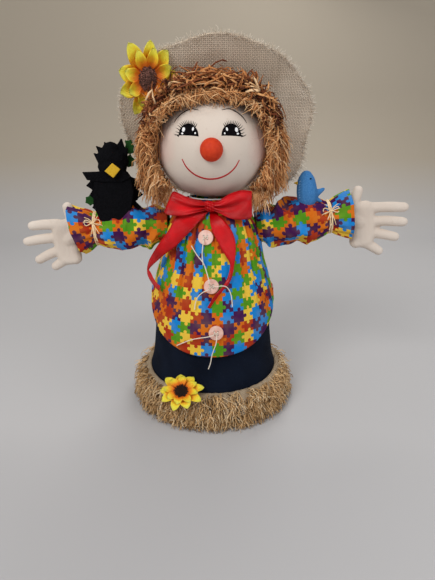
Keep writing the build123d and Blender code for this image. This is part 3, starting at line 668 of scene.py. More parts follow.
WHITE_INK = plain("white_ink", (0.86, 0.86, 0.86), (0.92, 0.92, 0.92), 0.5)
BROW_INK = plain("brow_ink", (0.02, 0.013, 0.010), (0.05, 0.032, 0.022), 0.7)
SMILE_INK = plain("smile_ink", (0.42, 0.010, 0.014), (0.52, 0.018, 0.02), 0.7)
FINISHES = {
    "mdf": plain("mdf", (0.36, 0.24, 0.13), (0.44, 0.31, 0.18), 0.85, 900.0, 0.15),
    "sand_bag": plain("sand_bag", (0.42, 0.36, 0.27), (0.52, 0.46, 0.36), 0.95, 500.0, 0.4),
    "dowel": plain("dowel", (0.50, 0.33, 0.17), (0.62, 0.44, 0.25), 0.6, 120.0, 0.1),
    "wire": plain("wire", (0.42, 0.42, 0.43), (0.50, 0.50, 0.51), 0.35, 700.0, 0.03, Metallic=1.0),
    "button_resin": button_resin(),
    "painted_wood": NOSE,
}


# ---------------------------------------------------------------- sewing threads: the free cords

def thread_tails():
    for number, route in THREAD_ROUTES.items():
        curve = bpy.data.curves.new(f"thread_tail_{number}", "CURVE")
        curve.dimensions = "3D"
        curve.bevel_depth = THREAD_DIAMETER / 2 * MM
        curve.bevel_resolution = 3
        curve.resolution_u = 8
        curve.use_fill_caps = True
        spline = curve.splines.new("NURBS")
        spline.points.add(len(route) - 1)
        for point, place in zip(spline.points, route):
            point.co = (*(MM * value for value in place), 1)
        spline.order_u = 3
        spline.use_endpoint_u = True
        made = piece(f"thread_tail_{number}", curve, THREAD, "stand")
        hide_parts(f"button_thread_{number}")


# ---------------------------------------------------------------- body

def around(count):
    """Angles round the body from the back, with 0 at the front."""
    return np.linspace(-pi, pi, count)


def turned(angle, radius, height):
    """Points round the upright line through the doll's middle."""
    return np.stack([radius * np.sin(angle), -radius * np.cos(angle), height], axis=-1)


def hem_height(angle):
    """Height of the shirt's hem: low in front and behind, cut up at the sides."""
    from_middle = np.minimum(np.abs(angle), pi - np.abs(angle)) / radians(72)
    return HEM_FRONT + HEM_RISE * np.minimum(from_middle, 1.12) ** 2.3


def shirt():
    angle = around(421)
    hem = hem_height(angle)
    height = hem + np.linspace(0, 1, 110)[:, None] * (SHIRT_TOP - hem)
    radius = shirt_radius(height)
    pleat = waves(angle, 27, 3)
    valley = np.clip(pleat, 0, 1) ** 2
    depth = 3.6 * smoothstep(110, 225, height) * (1 - 0.75 * smoothstep(255, SHIRT_TOP, height)) + 0.25
    broad = waves(angle, 7, 11)[None, :]
    radius = radius - depth * valley[None, :] - 0.9 * (0.5 + 0.5 * broad) * smoothstep(100, 180, height)
    flare = smoothstep(60, 82, np.abs(np.degrees(angle)))[None, :] * (1 - smoothstep(138, 172, height))
    radius = radius + 2.2 * flare * np.abs(np.sin(angle))[None, :] ** 2
    placket = np.exp(-((angle[None, :] * radius - 9.0) / 1.1) ** 2)
    radius = radius - 0.5 * placket
    points = turned(angle, radius, height)
    outward = turned(angle, 1 + 0 * height, 0 * height)
    points = points + 0.35 * wobble(points, 16.0, 2.0)[..., None] * outward
    eaten = np.cumsum(valley) / valley.sum() - 0.5
    gathered = 2 * pi * (SHIRT_FLAT_RADIUS - shirt_radius(height))
    flat = np.stack([angle * shirt_radius(height) + eaten * gathered, height + 0 * radius], axis=2)
    made = cloth_piece("shirt", points, flat, 0.9, PRINT, "stand")
    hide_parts("shirt_body", "body_stuffing")

    seam = np.array([0.0, 1.2, 2.4])[:, None] + hem + 1.5
    swell = 0.35 * np.array([0.62, 1.0, 0.62])[:, None]
    edge = shirt_radius(seam) + 2.2 * np.abs(np.sin(angle)) ** 2 * smoothstep(60, 82, np.abs(np.degrees(angle)))
    edge = edge - 0.25 * valley - 0.55 + swell
    hem_flat = np.stack([angle * SHIRT_FLAT_RADIUS + 0 * seam, seam], axis=2)
    fold = cloth_piece("shirt_hem_fold", turned(angle, edge, seam), hem_flat, 0.5, PRINT, "stand")


def collar():
    angle = around(241)
    rise = np.linspace(0, 1, 9)[:, None]
    ripple = waves(angle, 15, 5)[None, :]
    radius = 24.5 + 3.5 * rise + 0.9 * ripple * rise
    height = 264.0 + 11.0 * rise + 0 * radius
    points = turned(angle, radius, height)
    flat = np.stack([angle * 30.0 + 0 * radius, height], axis=2)
    made = cloth_piece("collar_frill", points, flat, 0.8, PRINT, "stand")
    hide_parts("shirt_collar")
    lip = tube_points(turned(angle, radius[-1], height[-1]), 0.8)
    edge = piece("collar_edge", grid_mesh("collar_edge", lip, close=True), WHITE_THREAD, "stand")


def trousers():
    angle = around(361)
    rise = np.linspace(0, 1, 80)[:, None]
    lower, upper = 5.6, 139.5
    height = lower + rise * (upper - lower) + 0 * angle[None, :]
    radius = trouser_radius(height)
    crease = waves(angle, 9, 21)[None, :] * (1 - smoothstep(15, 95, height))
    radius = radius - 0.8 + 0.8 * crease
    degrees = np.degrees(angle)[None, :]
    corner = np.exp(-((np.abs(degrees) - 78) / 9) ** 2) * np.exp(-((height - 50) / 11) ** 2)
    front_drop = np.exp(-(degrees / 38) ** 2) * np.exp(-((height - 42) / 9) ** 2)
    radius = radius + 2.6 * corner + 1.4 * front_drop
    points = turned(angle, radius, height)
    points[..., :2] *= (1 + 0.004 * wobble(points, 24.0, 4.0))[..., None]
    flat = np.stack([angle * 84.0 + 0 * radius, height + 0 * radius], axis=2)
    made = cloth_piece("trousers", points, flat, 1.0, NAVY, "stand")
    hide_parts("navy_trousers")


def ruffle():
    """Burlap ring gathered round the hem, its outer edge standing in waves."""
    angle = around(601)
    out = np.linspace(0, 1, 30)[:, None]
    fold = waves(angle, 24, 33, 0.5)[None, :]
    second = waves(angle, 41, 35, 0.5)[None, :]
    swing = smoothstep(0.15, 1.0, out)
    radius = 87.5 + 15.0 * out**0.85 + 2.6 * swing * second + 2.4 * swing * fold
    behind = smoothstep(50, 115, np.abs(np.degrees(angle)))[None, :]
    top = 43.0 + 3.0 * behind + 2.0 * fold * out
    height = top + 3.0 * np.sin(pi * out) - (27.0 - 6.0 * behind) * out**1.5 + 5.0 * swing * fold
    height = np.clip(height, 4.0, 49.0)
    points = turned(angle, radius, height)
    points[..., 2] += 0.8 * wobble(points, 7.0, 6.0)
    flat = np.stack([angle * 118.0 + 0 * radius, out * 34.0 + 0 * radius], axis=2)
    made = cloth_piece("burlap_ruffle", points, flat, 0.9, BROWN_BURLAP, "stand")
    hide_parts("base_ruffle")

    skirt = np.linspace(0, 1, 14)[:, None]
    inner = 88.5 + 14.0 * skirt + 1.2 * waves(angle, 30, 39)[None, :] * skirt
    drop = 38.0 - 36.5 * skirt**1.15 + 0 * inner
    under_flat = np.stack([angle * 100.0 + 0 * inner, skirt * 40.0 + 0 * inner], axis=2)
    lining = cloth_piece("burlap_underskirt", turned(angle, inner, drop), under_flat, 0.9, BROWN_BURLAP, "stand")

    count = 5500
    turn = RNG.uniform(-pi, pi, count)
    level = RNG.uniform(0.02, 1, count) ** 0.9
    clump = np.sin(37 * turn + 2.0 * np.sin(5 * turn)) * np.cos(5.0 * level + 1.6 * np.sin(11 * turn))
    root_radius = 93.0 + 10.0 * level
    root_height = 44.0 - 34.0 * level + RNG.normal(0, 3.0, count) + 1.5 * clump
    outward_share = np.clip(0.66 + 0.28 * clump + RNG.normal(0, 0.20, count), 0.1, 1.0)
    reach = RNG.uniform(12, 24, count)
    tip_radius = np.minimum(root_radius + reach * outward_share, 110.5 + RNG.uniform(-4, 3.5, count))
    fall = reach * np.sqrt(1.06 - outward_share**2) + RNG.uniform(-3, 3, count)
    tip_height = np.maximum(root_height - fall, RNG.uniform(0.8, 3.5, count))
    spread = RNG.normal(0, 0.07, count) + 0.05 * np.sin(14 * turn + 4 * level)
    roots = turned(turn, root_radius, root_height)
    tips = turned(turn + spread, tip_radius, tip_height)
    bends = (roots + tips) / 2 + turned(turn, 2.0, 4.0 + 0 * turn)
    lines = arcs(roots, bends, tips, 6, 1.6)
    lines[..., 2] = np.maximum(lines[..., 2], 0.6)
    shades = np.clip(0.56 + 0.30 * clump + RNG.normal(0, 0.20, count), 0, 1)
    widths = RNG.uniform(0.95, 1.95, count)
    frayed = strand_piece("burlap_fringe", lines, widths, shades, FRAY, "stand")
    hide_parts("base_fringe")


# ---------------------------------------------------------------- arms

def arm_point(name, distance, across, up):
    """A point in the arm's own terms: distance from the shoulder, y, and height above the arm's axis."""
    side, tilt = SIDE[name], radians(TILT[name])
    x = SHOULDER_X + distance * cos(tilt) - up * sin(tilt)
    z = SHOULDER_Z + distance * sin(tilt) + up * cos(tilt)
    return np.stack([side * x, across + 0 * x, z], axis=-1)


def sleeve(name):
    seed = {"right": 40, "left": 60}[name]
    turn = np.linspace(-pi, pi, 241)
    distance = np.linspace(-12.0, 107.0, 130)[:, None]
    tie_pull = np.exp(-((distance - TIE) / 9.0) ** 2)
    gather = waves(turn, 15, seed)[None, :]
    cuff = smoothstep(TIE + 1, 107, distance)
    root = 1 - smoothstep(8, 40, distance)
    puff = smoothstep(-8, 12, distance) * (1 - smoothstep(50, 76, distance))
    radius = sleeve_radius(distance) + {"right": 2.4, "left": 4.0}[name] * puff + 0 * turn[None, :]
    radius = radius - 2.2 * tie_pull * (0.5 - 0.5 * gather) - 3.0 * root * (0.5 - 0.5 * waves(turn, 8, seed + 2))
    radius = radius + cuff * (2.2 + 1.6 * waves(turn, 7, seed + 1)[None, :])
    across = -radius * np.cos(turn) * (1 - 0.12 * smoothstep(20, 60, distance))
    up = radius * np.sin(turn)
    slant = {"right": 6.5, "left": 0.5}[name] * cuff * np.sin(turn)[None, :]
    points = arm_point(name, distance + slant, across, up)
    fold_line = distance + 15.0 * np.sin(turn + 0.6)[None, :]
    folds = 1 - 2 * np.abs(np.sin(fold_line / 12.5 + 2.4 * wobble(points, 30.0, seed)))
    most = {"right": 3.4, "left": 5.2}[name]
    strength = most * smoothstep(-8, 6, distance) * (1 - smoothstep(28, 66, distance)) + 0.5
    ridges = np.sin(15 * turn[None, :] + 2.0 * wobble(points, 20.0, seed + 3.0))
    ridges = ridges * smoothstep(52, 78, distance)
    lumps = wobble(points, 19.0, seed + 0.5)
    push = (strength * folds + 2.0 * lumps * (1 - tie_pull) + 0.9 * ridges) * (1 - cuff * 0.6)
    push = np.minimum(push, 3.2)
    outward = points - arm_point(name, distance + 0 * turn[None, :], 0 * across, 0 * up)
    outward /= np.linalg.norm(outward, axis=2, keepdims=True)
    points = points + outward * push[..., None]
    flat = np.stack([turn * 26.5 + 0 * radius, distance + 0 * radius + seed], axis=2)
    made = cloth_piece(f"{name}_sleeve_cloth", points, flat, 0.9, PRINT, None)
    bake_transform(made)
    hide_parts(f"{name}_sleeve")


def hand(name, fingers):
    """Stuffed calico hand: fingers and palm sewn from two layers, melted into one skin."""
    balls = []
    for knuckle, tip in fingers:
        middle = ((knuckle[0] + tip[0]) / 2, (knuckle[1] + tip[1]) / 2 + 0.8)
        line = [arm_point(name, d, 0.0, u) for d, u in (knuckle, middle, tip)]
        balls += limb(line, (8.0, 7.0, 7.0, 6.5))
    for up in np.linspace(-38, 6, 12):
        for distance in (115, 121, 127, 132):
            inset = 3.0 * abs((up + 16) / 22) ** 3
            balls.append((arm_point(name, distance - inset * (distance > 125), 0.0, up).tolist(), 8.6))
    balls += limb([arm_point(name, d, 0.0, u) for d, u in ((80, 0), (100, -2), (118, -12))], (12, 12, 11.5))
    mesh = sculpted(f"{name}_hand", [blob(balls)], 1.4, 8)
    co = np.empty(len(mesh.vertices) * 3)
    mesh.vertices.foreach_get("co", co)
    co = co.reshape(-1, 3)
    groove = np.exp(-(co[:, 1] / MM / 1.5) ** 2)
    centre = np.array(arm_point(name, 120.0, 0.0, -14.0)) * MM
    normals = np.array([v.normal[:] for v in mesh.vertices])
    lumps = wobble(co / MM, 13.0, 8.0)
    dimple = np.exp(-(((co - centre) / MM / 14.0) ** 2).sum(axis=1)) * 0.8
    co = co + normals * MM * (-0.45 * groove + 0.35 * lumps - dimple)[:, None]
    mesh.vertices.foreach_set("co", co.ravel())
    made = piece(f"{name}_hand", mesh, CALICO, f"{name}_arm")
    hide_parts(f"{name}_arm_and_hand")


def wrist_tie(name):
    """Raffia wound over the sleeve, knotted in front with a small bow and loose ends."""
    local = np.random.default_rng(70 if name == "right" else 71)
    lines = []
    for strand in range(5):
        turn = np.linspace(0, 2 * pi, 40)
        lean = local.uniform(-0.08, 0.08)
        where = TIE + local.uniform(-1.6, 1.6) + lean * 17 * np.sin(turn + local.uniform(0, 6))
        radius = 20.4 + local.uniform(0, 1.1) + 0.3 * np.sin(5 * turn + strand)
        lines.append(arm_point(name, where, -0.88 * radius * np.cos(turn), radius * np.sin(turn)))
    knot = np.array([TIE, 12.5])
    ends = ((9, 9), (12, 3), (-8, 10), (-13, -3), (-4, -22), (5, -17), (-8, -14))
    tails = []
    for reach, rise in ends:
        t = np.linspace(0, 1, 14)
        bow = local.uniform(-3, 3)
        where = knot[0] + reach * t + bow * np.sin(pi * t)
        up = knot[1] - 3 + rise * t + 1.5 * np.sin(pi * t)
        out = -15.5 - 4.0 * np.sin(pi * t * 0.8) - local.uniform(0, 2)
        tails.append(arm_point(name, where, out, up))
    loops = []
    for way in (-1, 1):
        t = np.linspace(0, 2 * pi, 26)
        where = knot[0] + way * (5.0 - 5.0 * np.cos(t))
        up = knot[1] - 1 + 3.4 * np.sin(t) * np.sin(t / 2) ** 2 * 1.6
        loops.append(arm_point(name, where, -17.5 - 1.5 * np.sin(t / 2), up))
    parts = [grid_mesh("wrap", tube_points(line, 0.75, 6)) for line in lines]
    parts += [grid_mesh("tail", tube_points(line, 0.6, 6, 0.4)) for line in tails]
    parts += [grid_mesh("loop", tube_points(line, 0.6, 6)) for line in loops]
    parts.append(blob([(arm_point(name, knot[0], -16.8, knot[1] - 1).tolist(), 2.1),
                       (arm_point(name, knot[0] + 0.8, -17.6, knot[1] - 2).tolist(), 1.6)]))
    mesh = joined(f"{name}_wrist_raffia", parts)
    set_points(mesh, "shade", 0.93 + 0.05 * np.sin(np.arange(len(mesh.vertices)) / 40.0))
    made = piece(f"{name}_wrist_raffia", mesh, FRAY, f"{name}_arm")
    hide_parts(f"{name}_wrist_tie")


# ---------------------------------------------------------------- ribbon bow

def between(first, second, count):
    """A grid between two smooth edges."""
    a, b = through(first, count), through(second, count)
    w = np.linspace(0, 1, 9)[None, :, None]
    return a[:, None] * (1 - w) + b[:, None] * w


def flat_of(points):
    """Cloth coordinates of a ribbon grid: along its middle and across it."""
    middle = points[:, points.shape[1] // 2]
    run = np.concatenate([[0], np.cumsum(np.linalg.norm(np.diff(middle, axis=0), axis=1))])
    width = np.linalg.norm(points[:, -1] - points[:, 0], axis=1)
    across = np.linspace(-0.5, 0.5, points.shape[1])
    return np.stack([run[:, None] + 0 * across, width[:, None] * across], axis=2)


def ribbon(name, points, node, thickness=0.5):
    """A ribbon from a grid of points."""
    made = piece(name, grid_mesh(name, points, flat_of(points), thickness=thickness), SATIN, "stand")
    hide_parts(node)


def bow_loop(name, knot, upper, lower, node, deep=7.0):
    """Ribbon that leaves the knot in front, turns at the outer end and comes back behind."""
    count, across = 60, 15
    top, bottom = through(upper, 40), through(lower, 40)
    t = np.linspace(0.02, 0.98, count)
    share = np.sin(pi * t) ** 0.9
    sides = []
    for side in (top, bottom):
        reach = np.abs(side[:, 0] - knot[0])
        sides.append(np.column_stack([np.interp(share * reach.max(), reach, side[:, axis]) for axis in (0, 1)]))
    a, b = sides
    w = np.linspace(0, 1, across)
    x = a[:, :1] * (1 - w) + b[:, :1] * w
    z = a[:, 1:] * (1 - w) + b[:, 1:] * w
    behind = (t > 0.5)[:, None]
    z = z + np.where(behind, 1.2, 0.0) * np.sin(pi * t)[:, None]
    belly = np.sin(pi * w)[None, :] * np.sin(2 * pi * np.abs(t - 0.5))[:, None]
    y = knot[1] - deep * np.cos(pi * t)[:, None] * (0.35 + 0.65 * share[:, None])
    y = y - np.where(behind, -0.4, 1.0) * belly
    pinch = np.exp(-(share / 0.42) ** 2)[:, None]
    y = y + 2.2 * pinch * np.sin(w * 2 * pi * 2.4 + 0.5)[None, :]
    crease = np.exp(-(((w[None, :] - 0.62 + 0.3 * share[:, None]) / 0.13) ** 2)) - 0.5
    fold = 4.2 * crease * np.sin(pi * np.clip(share, 0, 0.9))[:, None]
    fold = fold + 0.6 * np.sin(w * pi * 3 + 4.5 * share[:, None])
    points = np.stack([x, y + fold, z], axis=2)
    ribbon(name, points, node)


def bow():
    knot = (-2.5, -45.2)
    bow_loop("bow_loop_right_ribbon", knot,
             ((-5, 273.5), (-16, 276.0), (-30, 280.0), (-43, 285.5), (-46.5, 283.5)),
             ((-5, 266.5), (-18, 263.5), (-34, 260.0), (-50, 260.0), (-56.0, 262.5)), "bow_loop_right")
    bow_loop("bow_loop_left_ribbon", knot,
             ((0, 273.5), (9, 276.0), (20, 283.0), (34, 287.0), (46.0, 286.0)),
             ((0, 266.0), (9, 262.5), (22, 256.5), (36, 255.0), (47.0, 257.5)), "bow_loop_left", 7.6)

    turn = np.linspace(0, 2 * pi, 49)[:, None]
    along = np.linspace(-1, 1, 25)[None, :]
    swell = (1 - np.abs(along) ** 3.2) ** 0.4 * (1 + 0.10 * np.sin(9 * turn + 4 * along))
    x = knot[0] + 6.6 * along * (1 + 0.05 * np.cos(turn)) + 0 * turn
    y = -45.8 - 5.2 * swell * np.cos(turn)
    z = 269.6 + 5.8 * swell * np.sin(turn) - 1.2 * along
    y = y - 0.7 * np.sin(4.5 * pi * along + 1.2 * np.sin(turn)) * swell
    ribbon("bow_knot_ribbon", np.stack([x, y, z], axis=2), "bow_knot", 0.4)

    wide = between(((-7.5, -40, 264), (-22, -42, 263.4), (-40.4, -42.0, 259.2), (-50.5, -48, 242.9),
                    (-66, -44, 222.2), (-78.5, -34, 201.5), (-82.6, -30.0, 188.6)),
                   ((-2.5, -41, 263), (-7, -46.5, 261.0), (-26.5, -56.4, 241.5), (-43, -54.5, 224.0),
                    (-56, -49.0, 213.5), (-70, -41.0, 200.0), (-80.6, -32.0, 188.2)), 60)
    back = between(((-82.6, -30.0, 188.6), (-82.0, -33.0, 182.5), (-79.0, -38.0, 177.5), (-72.5, -47.0, 171.5),
                    (-65.5, -55.5, 167.5)),
                   ((-80.6, -32.0, 188.2), (-76.8, -37.0, 185.5), (-72.2, -44.2, 181.0), (-68.0, -50.0, 177.0),
                    (-63.4, -55.6, 174.6)), 34)
    right = np.concatenate([wide, back[1:]])
    ribbon("bow_tail_right_ribbon", relax(clear_of_shirt(bowed(right, 2.4))), "bow_tail_right")
    left = between(((1.0, -41, 264), (12.8, -50.0, 255.2), (22.9, -56.2, 243), (27.8, -60.5, 227.8),
                    (25.9, -67, 204.3), (21.5, -73.0, 186.4), (9.3, -79.4, 172.7), (-2.6, -83.0, 155.6)),
                   ((-3.0, -42, 262), (-1.2, -57.0, 248.6), (5.6, -63.4, 233.8), (14.5, -66.4, 218),
                    (21.5, -69.0, 204.4), (16.0, -75.6, 186.6), (3.6, -79.8, 172.6), (-5.4, -83.0, 157.5)), 80)
    ribbon("bow_tail_left_ribbon", relax(clear_of_shirt(bowed(left, 2.0))), "bow_tail_left")


def bowed(points, height):
    """Raise the middle of a ribbon a little towards the front, and let it wave along its length."""
    w = np.linspace(0, 1, points.shape[1])[None, :]
    t = np.linspace(0, 1, points.shape[0])[:, None]
    points = points.copy()
    points[..., 1] -= height * np.sin(pi * w) * np.sin(pi * np.clip(t * 1.15, 0, 1)) * (1 - 0.5 * t)
    points[..., 1] -= 3.4 * np.sin(t * 9.0) * (w - 0.5) + 0.8 * np.sin(t * 17.0)
    return points


def clear_of_shirt(points):
    """Bring points forward until they stand 2 mm clear of the shirt."""
    radius = shirt_radius(points[..., 2]) + 2.0
    within = np.clip(radius**2 - points[..., 0] ** 2, 0, None)
    limit = np.where(np.abs(points[..., 0]) < radius - 0.5, -np.sqrt(within), 1e3)
    points[..., 1] = np.minimum(points[..., 1], np.where(points[..., 2] < 258, limit, 1e3))
    return points


def relax(points):
    """Even out a grid of points along its length."""
    for _ in range(3):
        points[1:-1] = (points[:-2] + 2 * points[1:-1] + points[2:]) / 4
    return points


def neck_band():
    angle = around(121)
    rise = np.linspace(0, 1, 7)[:, None]
    low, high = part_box("neck_ribbon")
    middle = (low.z + high.z) / 2 / MM
    reach = (high.x - low.x) / 2 / MM
    radius = reach - 0.6 - 0.5 * np.sin(pi * rise) + 0 * angle[None, :]
    height = middle + (rise - 0.5) * 8.0 + 0 * radius
    points = turned(angle, radius, height)
    ribbon("neck_band_ribbon", points.transpose(1, 0, 2), "neck_ribbon", 0.5)


# ---------------------------------------------------------------- buttons

def buttons():
    for where in ("top", "middle", "bottom"):
        node = f"shirt_button_{where}"
        low, high = (np.array(corner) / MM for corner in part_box(node))
        centre = (low + high) / 2
        slope = (shirt_radius(centre[2] + 4) - shirt_radius(centre[2] - 4)) / 8
        upward = np.array([0, -slope, 1.0])
        upward /= np.linalg.norm(upward)
        outward = np.array([0.0, -1.0, -slope])
        outward /= np.linalg.norm(outward)
        holes = [(-1, -1), (1, 1), (-1, 1), (1, -1)]
        parts = []
        for a, b in ((0, 1), (2, 3), (0, 2), (1, 3)):
            ends = [centre + (2.2 * h[0], 0, 0) + 2.2 * h[1] * upward for h in (holes[a], holes[b])]
            line = [ends[0], ends[0] + 1.7 * outward, (ends[0] + ends[1]) / 2 + 2.5 * outward,
                    ends[1] + 1.7 * outward, ends[1]]
            parts.append(grid_mesh("stitch", tube_points(through(line, 14), 0.42, 6)))
        stitched = piece(f"button_stitches_{where}", joined(f"button_stitches_{where}", parts), THREAD, "stand")


# ---------------------------------------------------------------- head

def head():
    angle = np.linspace(-pi, pi, 161)
    rise = np.linspace(-1, 1, 101)[:, None]
    lift = rise * pi / 2
    lump = 0.35 * waves(angle, 5, 81)[None, :] * np.cos(lift) * smoothstep(-0.2, 0.9, -rise)
    radius = HEAD_RADIUS * np.cos(lift) + lump
    height = HEAD_Z + HEAD_HALF_HEIGHT * np.sin(lift) + 0 * radius
    height = np.maximum(height, 275.6)
    flat = np.stack([angle * 60 + 0 * radius, rise * 90 + 0 * radius], axis=2)
    made = cloth_piece("head_cloth", turned(angle, radius, height), flat, 0.0, FACE, "head")
    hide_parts("head_skin", "head_stuffing")


def on_face(x, z, proud):
    x, z = np.asarray(x, float), np.asarray(z, float)
    return np.stack([x, head_front(x, z, proud), z], axis=-1)


def drawn_line(points, width, fade, count=60):
    """A painted line on the face, thinner towards its ends."""
    line = through(points, count)
    along = np.gradient(line, axis=0)
    side = np.column_stack([-along[:, 1], along[:, 0]]) / np.linalg.norm(along, axis=1)[:, None]
    t = np.linspace(-1, 1, count)
    half = width / 2 * (1 - fade * np.abs(t) ** 3)
    rows = [line + side * (half * k)[:, None] for k in (-1, 0, 1)]
    grid = np.stack(rows, axis=1)
    return grid_mesh("line", on_face(grid[..., 0], grid[..., 1], 0.12))


def lash(x, z, dx, dz):
    line = through([(x, z), (x + dx * 0.5 + dz * 0.08, z + dz * 0.5 - dx * 0.08), (x + dx, z + dz)], 8)
    along = np.gradient(line, axis=0)
    side = np.column_stack([-along[:, 1], along[:, 0]]) / np.linalg.norm(along, axis=1)[:, None]
    half = 1.15 / 2 * (1 - 0.92 * np.linspace(0, 1, 8))
    grid = np.stack([line - side * half[:, None], line, line + side * half[:, None]], axis=1)
    return grid_mesh("lash", on_face(grid[..., 0], grid[..., 1], 0.2))


def spot(x, z, wide, tall, lean):
    """A small leaning oval, a little above the eye."""
    turn = np.linspace(0, 2 * pi, 25)[None, :]
    reach = np.linspace(0, 1, 4)[:, None]
    px, pz = wide * reach * np.cos(turn), tall * reach * np.sin(turn)
    points = on_face(x + px * cos(lean) - pz * sin(lean), z + px * sin(lean) + pz * cos(lean), 0.3)
    return grid_mesh("spot", points, close=True)


def drawn(name, parts, ink):
    """Ink on the face: a thin film on the calico."""
    made = piece(name, thicken(joined(name, parts), 0.16), ink, "head")
    return made


def face():
    """Painted face: flat-bottomed black eyes with lashes and lights, thin brows, and a smile."""
    eye_parts, lashes, lights, brows = [], [], [], []
    for side, inner, outer, base in ((-1, -13.5, -35.5, 347.4), (1, 10.6, 32.2, 347.2)):
        wide = abs(outer - inner)
        middle = (inner + outer) / 2
        u = np.linspace(-1, 1, 33)[:, None]
        v = np.linspace(0, 1, 9)[None, :]
        crown = EYE_HEIGHT * np.sqrt(np.clip(1 - np.abs(u) ** EYE_CURVE, 0, 1))
        foot = base + 1.0 * (1 - u**2) * 0.4 - 0.5 * u * side
        px = middle + u * wide / 2 * side + 0 * v
        eye_parts.append(grid_mesh("eye", on_face(px, foot + crown * v, 0.14)))
        for share in np.linspace(-0.62, 1.0, 14):
            px = middle + share * wide / 2 * side
            pz = base + EYE_HEIGHT * max(0.0, 1 - abs(share) ** EYE_CURVE) ** 0.5
            lean = radians(90 - 62 * share - 6)
            reach = 4.6 + 1.6 * max(share, 0)
            lashes.append(lash(px, pz - 0.6, reach * cos(lean) * side, reach * sin(lean)))
        for share, drop in ((0.90, 2.4), (0.97, 0.7)):
            px = middle + share * wide / 2 * side
            lashes.append(lash(px, base + drop, 5.0 * side, 1.8 - 2 * (share > 0.95)))
        for dx, dz, a, b in ((5.6, 6.4, 1.7, 2.4), (7.0, 2.4, 1.2, 1.0),
                             (-4.8, 7.0, 1.1, 1.9), (-7.2, 2.8, 0.8, 1.0)):
            lights.append(spot(middle + dx * side, base + dz, a, b, 0.25 * side))
        brow = ((13.0, 373.6), (21.0, 374.8), (29.0, 371.8), (36.0, 366.5), (40.5, 360.5))
        brows.append(drawn_line([(side * x - (1.0 if side < 0 else 2.0), z) for x, z in brow], 1.1, 0.7))
    drawn("eyes", eye_parts, EYE_INK)
    drawn("eyelashes", lashes, EYE_INK)
    drawn("eye_lights", lights, WHITE_INK)
    drawn("eyebrows", brows, BROW_INK)
    smile = [(-32.5, 323.5), (-28.0, 315.0), (-20.0, 307.4), (-10.0, 303.0), (-1.0, 301.8), (9.0, 303.2),
             (18.5, 307.6), (26.0, 314.6), (30.5, 322.6)]
    drawn("smile", [drawn_line(smile, 1.7, 0.45, 100)], SMILE_INK)


# ---------------------------------------------------------------- hair

def ring(angle, wide, tall, y):
    """Points on an ellipse round the face, at angles in degrees from its right-hand side."""
    turn = np.radians(angle)
    across, up = (np.sign(part) * np.abs(part) ** 0.82 for part in (np.cos(turn), np.sin(turn)))
    return np.stack([wide * across, y + 0 * turn, HEAD_Z + tall * up], axis=-1)


def tuft(count, span, root, tip, lift, jitter, curl, clumps=60):
    """Clumped strands from one ellipse round the face to another; each ellipse is (wide, tall, y)."""
    own = RNG.integers(0, clumps, count)
    middle = RNG.uniform(*span, clumps)
    angle = middle[own] + RNG.normal(0, 2.4, count)
    turn = angle + RNG.normal(0, jitter[1], clumps)[own] + RNG.normal(0, 0.5 * jitter[1], count)
    shift = RNG.normal(0, jitter[0], (clumps, 3))[own] + RNG.normal(0, 0.6 * jitter[0], (count, 3))
    roots = ring(angle, *root) + RNG.normal(0, 1.6, (count, 3))
    tips = ring(turn, *tip) + shift
    bends = ring((angle + turn) / 2, *lift) + 0.5 * shift + RNG.normal(0, 1.6, (count, 3))
    return off_head(arcs(roots, bends, tips, 6, curl), 0.8), RNG.normal(0, 1, clumps)[own]


def in_front_of_brim(lines, gap=1.2):
    """Bring points forward until they stand clear of the hat's brim."""
    limit = brim_y(lines[..., 2]) - gap
    lines[..., 1] = np.minimum(lines[..., 1], limit)
    return lines


